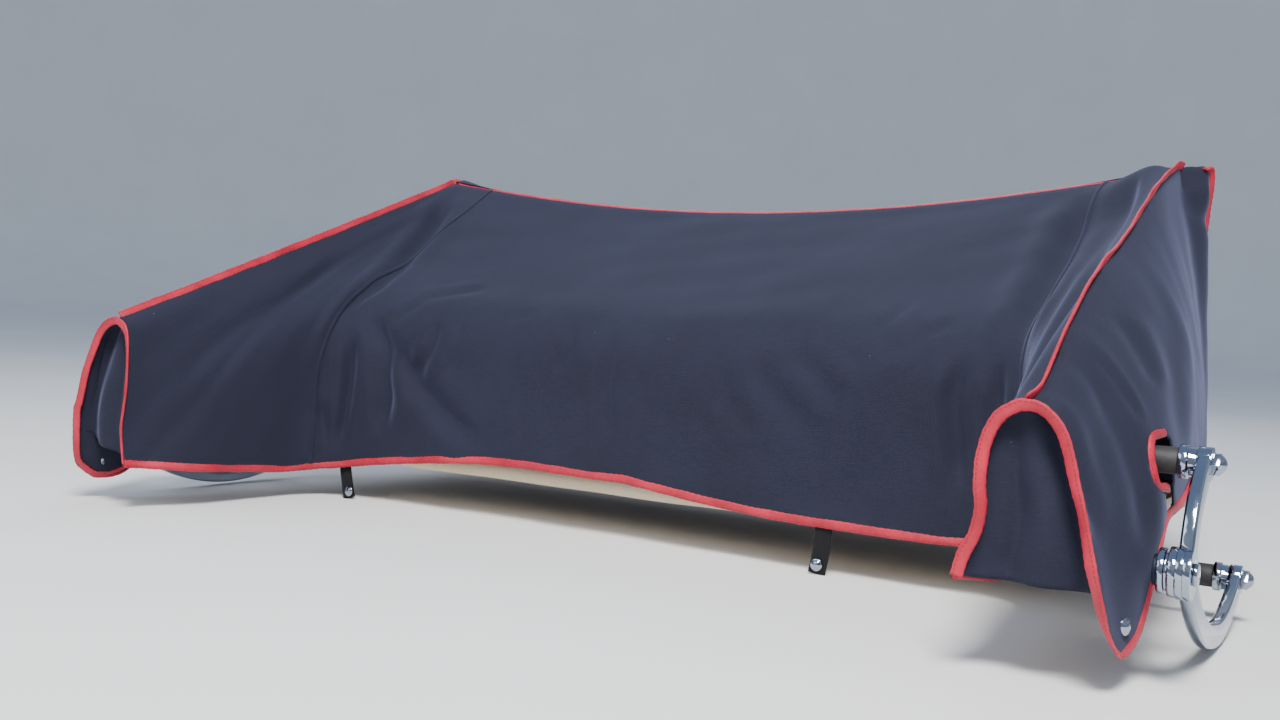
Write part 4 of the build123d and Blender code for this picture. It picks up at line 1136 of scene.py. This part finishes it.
def wrapped(front, back, foot, top):
    """Cloth folded once and wrapped in itself, so that a single fold shows in front, in side view."""
    radius = (top - foot) / 2
    inner = 0.4 * radius
    low = foot + radius - inner
    line = [(back - 0.030, low)]
    line += run(line[-1], (front + 0.010, low)) + half_turn(front + 0.010, low, inner, -1, inner)
    line += run(line[-1], (back - 0.006, low + 2 * inner))
    line += half_turn(back - 0.006, foot, (radius + inner) / 2, 1, 0.005)[::-1]
    line += run(line[-1], (front, foot)) + half_turn(front, foot, radius, -1, radius, 13)
    return line + run(line[-1], (back, top)) + [(back, top)]


def folded_cloth(name, half, line, material, node, seed, slack, thick):
    """Cloth folded up across the car. line is its run in side view; its layers stay parallel."""
    x = np.linspace(-half, half, int(2 * half / 0.010))
    y, z = np.array(line).T
    grid = np.stack(np.broadcast_arrays(x[:, None], y[None], z[None]), -1).copy()
    grid[..., 1] += slack * ripples(grid[..., 0], 2.0 * grid[..., 2], 0.20, seed)
    grid[..., 2] += 0.6 * slack * ripples(grid[..., 0], grid[..., 1], 0.24, seed + 1)
    along = np.repeat(lengths(np.array(line))[None], len(x), 0)
    mesh = as_mesh(name, grid, np.stack([np.repeat(x[:, None], len(line), 1), along], -1))
    obj = piece(mesh, material, "hood", [node])
    thicken(obj, thick)


low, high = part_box("folded_roof_cloth")
front, foot = low.y + 0.026, low.z + 0.002
roof_line = pleated(front, -0.270, foot, foot + 0.150, 6)
over_the_top = smooth_line(((front + 0.010, foot + 0.158), (front + 0.045, foot + 0.178), (-0.250, 0.225),
                            (high.y - 0.012, high.z - 0.050), (high.y - 0.002, high.z - 0.066),
                            (high.y - 0.012, high.z - 0.082), (-0.262, 0.163)), 0.009)
folded_cloth("folded_roof", high.x - 0.010, roof_line + [tuple(p) for p in over_the_top], HOOD_CLOTH,
             "folded_roof_cloth", 120, 0.0040, 0.0032)

low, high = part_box("folded_headlining")
lining_line = wrapped(low.y + (high.z - low.z) / 2, high.y - 0.002, low.z + 0.002, high.z - 0.002)
folded_cloth("headlining_folded", high.x - 0.004, lining_line, WOOL, "folded_headlining", 130,
             0.0012, 0.0030)

low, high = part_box("folded_back_curtain")
turns, inner_r = 3.25, 0.006
t = np.linspace(0, 1, int(28 * turns))
radius = inner_r + (min(high.z - low.z, high.y - low.y) / 2 - inner_r - 0.003) * t
angle = 2 * math.pi * turns * t + 0.6
stretch = (high.y - low.y) / (high.z - low.z)
middle = (low + high) / 2
curtain_line = [(middle.y + stretch * r * math.cos(a), middle.z + r * math.sin(a))
                for r, a in zip(radius, angle)]
folded_cloth("back_curtain_rolled", high.x - 0.004, curtain_line, HOOD_CLOTH,
             "folded_back_curtain", 140, 0.0020, 0.0030)


# Camera, light and floor

def aim(yaw, pitch, roll):
    """Camera's axes as a rotation: yaw to the left of +Y, pitch up and roll clockwise."""
    ahead = Vector((-math.sin(yaw) * math.cos(pitch), math.cos(yaw) * math.cos(pitch), math.sin(pitch)))
    right = Vector((math.cos(yaw), math.sin(yaw), 0.0))
    up = right.cross(ahead)
    right, up = right * math.cos(roll) + up * math.sin(roll), up * math.cos(roll) - right * math.sin(roll)
    return Matrix((right, up, -ahead)).transposed()


def add_camera():
    data = bpy.data.cameras.new("camera")
    data.sensor_width = 36.0
    data.lens = FOCAL_PX / FRAME_PX * data.sensor_width
    data.clip_start = 0.02
    camera = add_object("camera", data)
    camera.matrix_world = Matrix.Translation(CAMERA) @ aim(YAW, PITCH, ROLL).to_4x4()
    bpy.context.scene.camera = camera


def area_light(name, place, target, size, power, colour):
    data = bpy.data.lights.new(name, "AREA")
    data.shape = "RECTANGLE"
    data.size, data.size_y = size
    data.energy = power
    data.color = colour
    light = add_object(name, data)
    light.location = place
    light.rotation_euler = (Vector(target) - Vector(place)).to_track_quat("-Z", "Y").to_euler()


def add_stage():
    """Pale round floor that curves up into a wall all round, far from the object."""
    far, bend, tall = 16.0, 5.0, 9.0
    angle = np.linspace(0, math.pi / 2, 24)
    profile = [(0.0, 0.0), (4.0, 0.0), (far, 0.0)]
    profile += [(far + bend * math.sin(t), bend * (1 - math.cos(t))) for t in angle[1:]]
    profile.append((far + bend, tall))
    r, z = np.array(profile).T
    turn = np.linspace(0, 2 * math.pi, 96, endpoint=False)[:, None]
    grid = np.stack([r * np.cos(turn), r * np.sin(turn), FLOOR_Z + z + 0 * turn], -1)
    mesh = as_mesh("floor", grid, grid[..., :2], closed=True)
    with edited(mesh) as bm:
        weld(bm)
    n = Nodes("pale_floor")
    cloudy = n.noise(n.coordinate("Object"), 1.2, 3.0)
    colour = n.ramp(cloudy, ((0.3, (0.80, 0.80, 0.79)), (0.7, (0.84, 0.84, 0.83))))
    mesh.materials.append(n.set(Base_Color=colour, Roughness=0.9))
    add_object("floor", mesh)


def add_world():
    world = bpy.data.worlds.new("world")
    world.use_nodes = True
    tree = world.node_tree
    background = tree.nodes["Background"]
    height = tree.nodes.new("ShaderNodeSeparateXYZ")
    tree.links.new(tree.nodes.new("ShaderNodeTexCoord").outputs["Generated"], height.inputs[0])
    ramp = tree.nodes.new("ShaderNodeValToRGB")
    tree.links.new(height.outputs["Z"], ramp.inputs[0])
    set_ramp(ramp, ((0.0, (0.90, 0.93, 0.97)), (0.9, (0.38, 0.50, 0.72))))
    tree.links.new(ramp.outputs[0], background.inputs["Color"])
    background.inputs["Strength"].default_value = 0.75
    bpy.context.scene.world = world


add_camera()
add_stage()
add_world()
# Lights: place, target, size, power, colour
area_light("key", (1.3, -2.4, 3.1), (-0.1, -0.4, 0.15), (1.1, 1.1), 250.0, (1.0, 0.98, 0.95))
area_light("fill", (-1.6, -3.2, 2.0), (0.0, -0.4, 0.1), (2.4, 2.0), 40.0, (0.96, 0.97, 1.0))
area_light("back", (-1.2, 2.8, 2.6), (0.0, -0.2, 0.2), (2.5, 1.5), 30.0, (0.9, 0.95, 1.0))
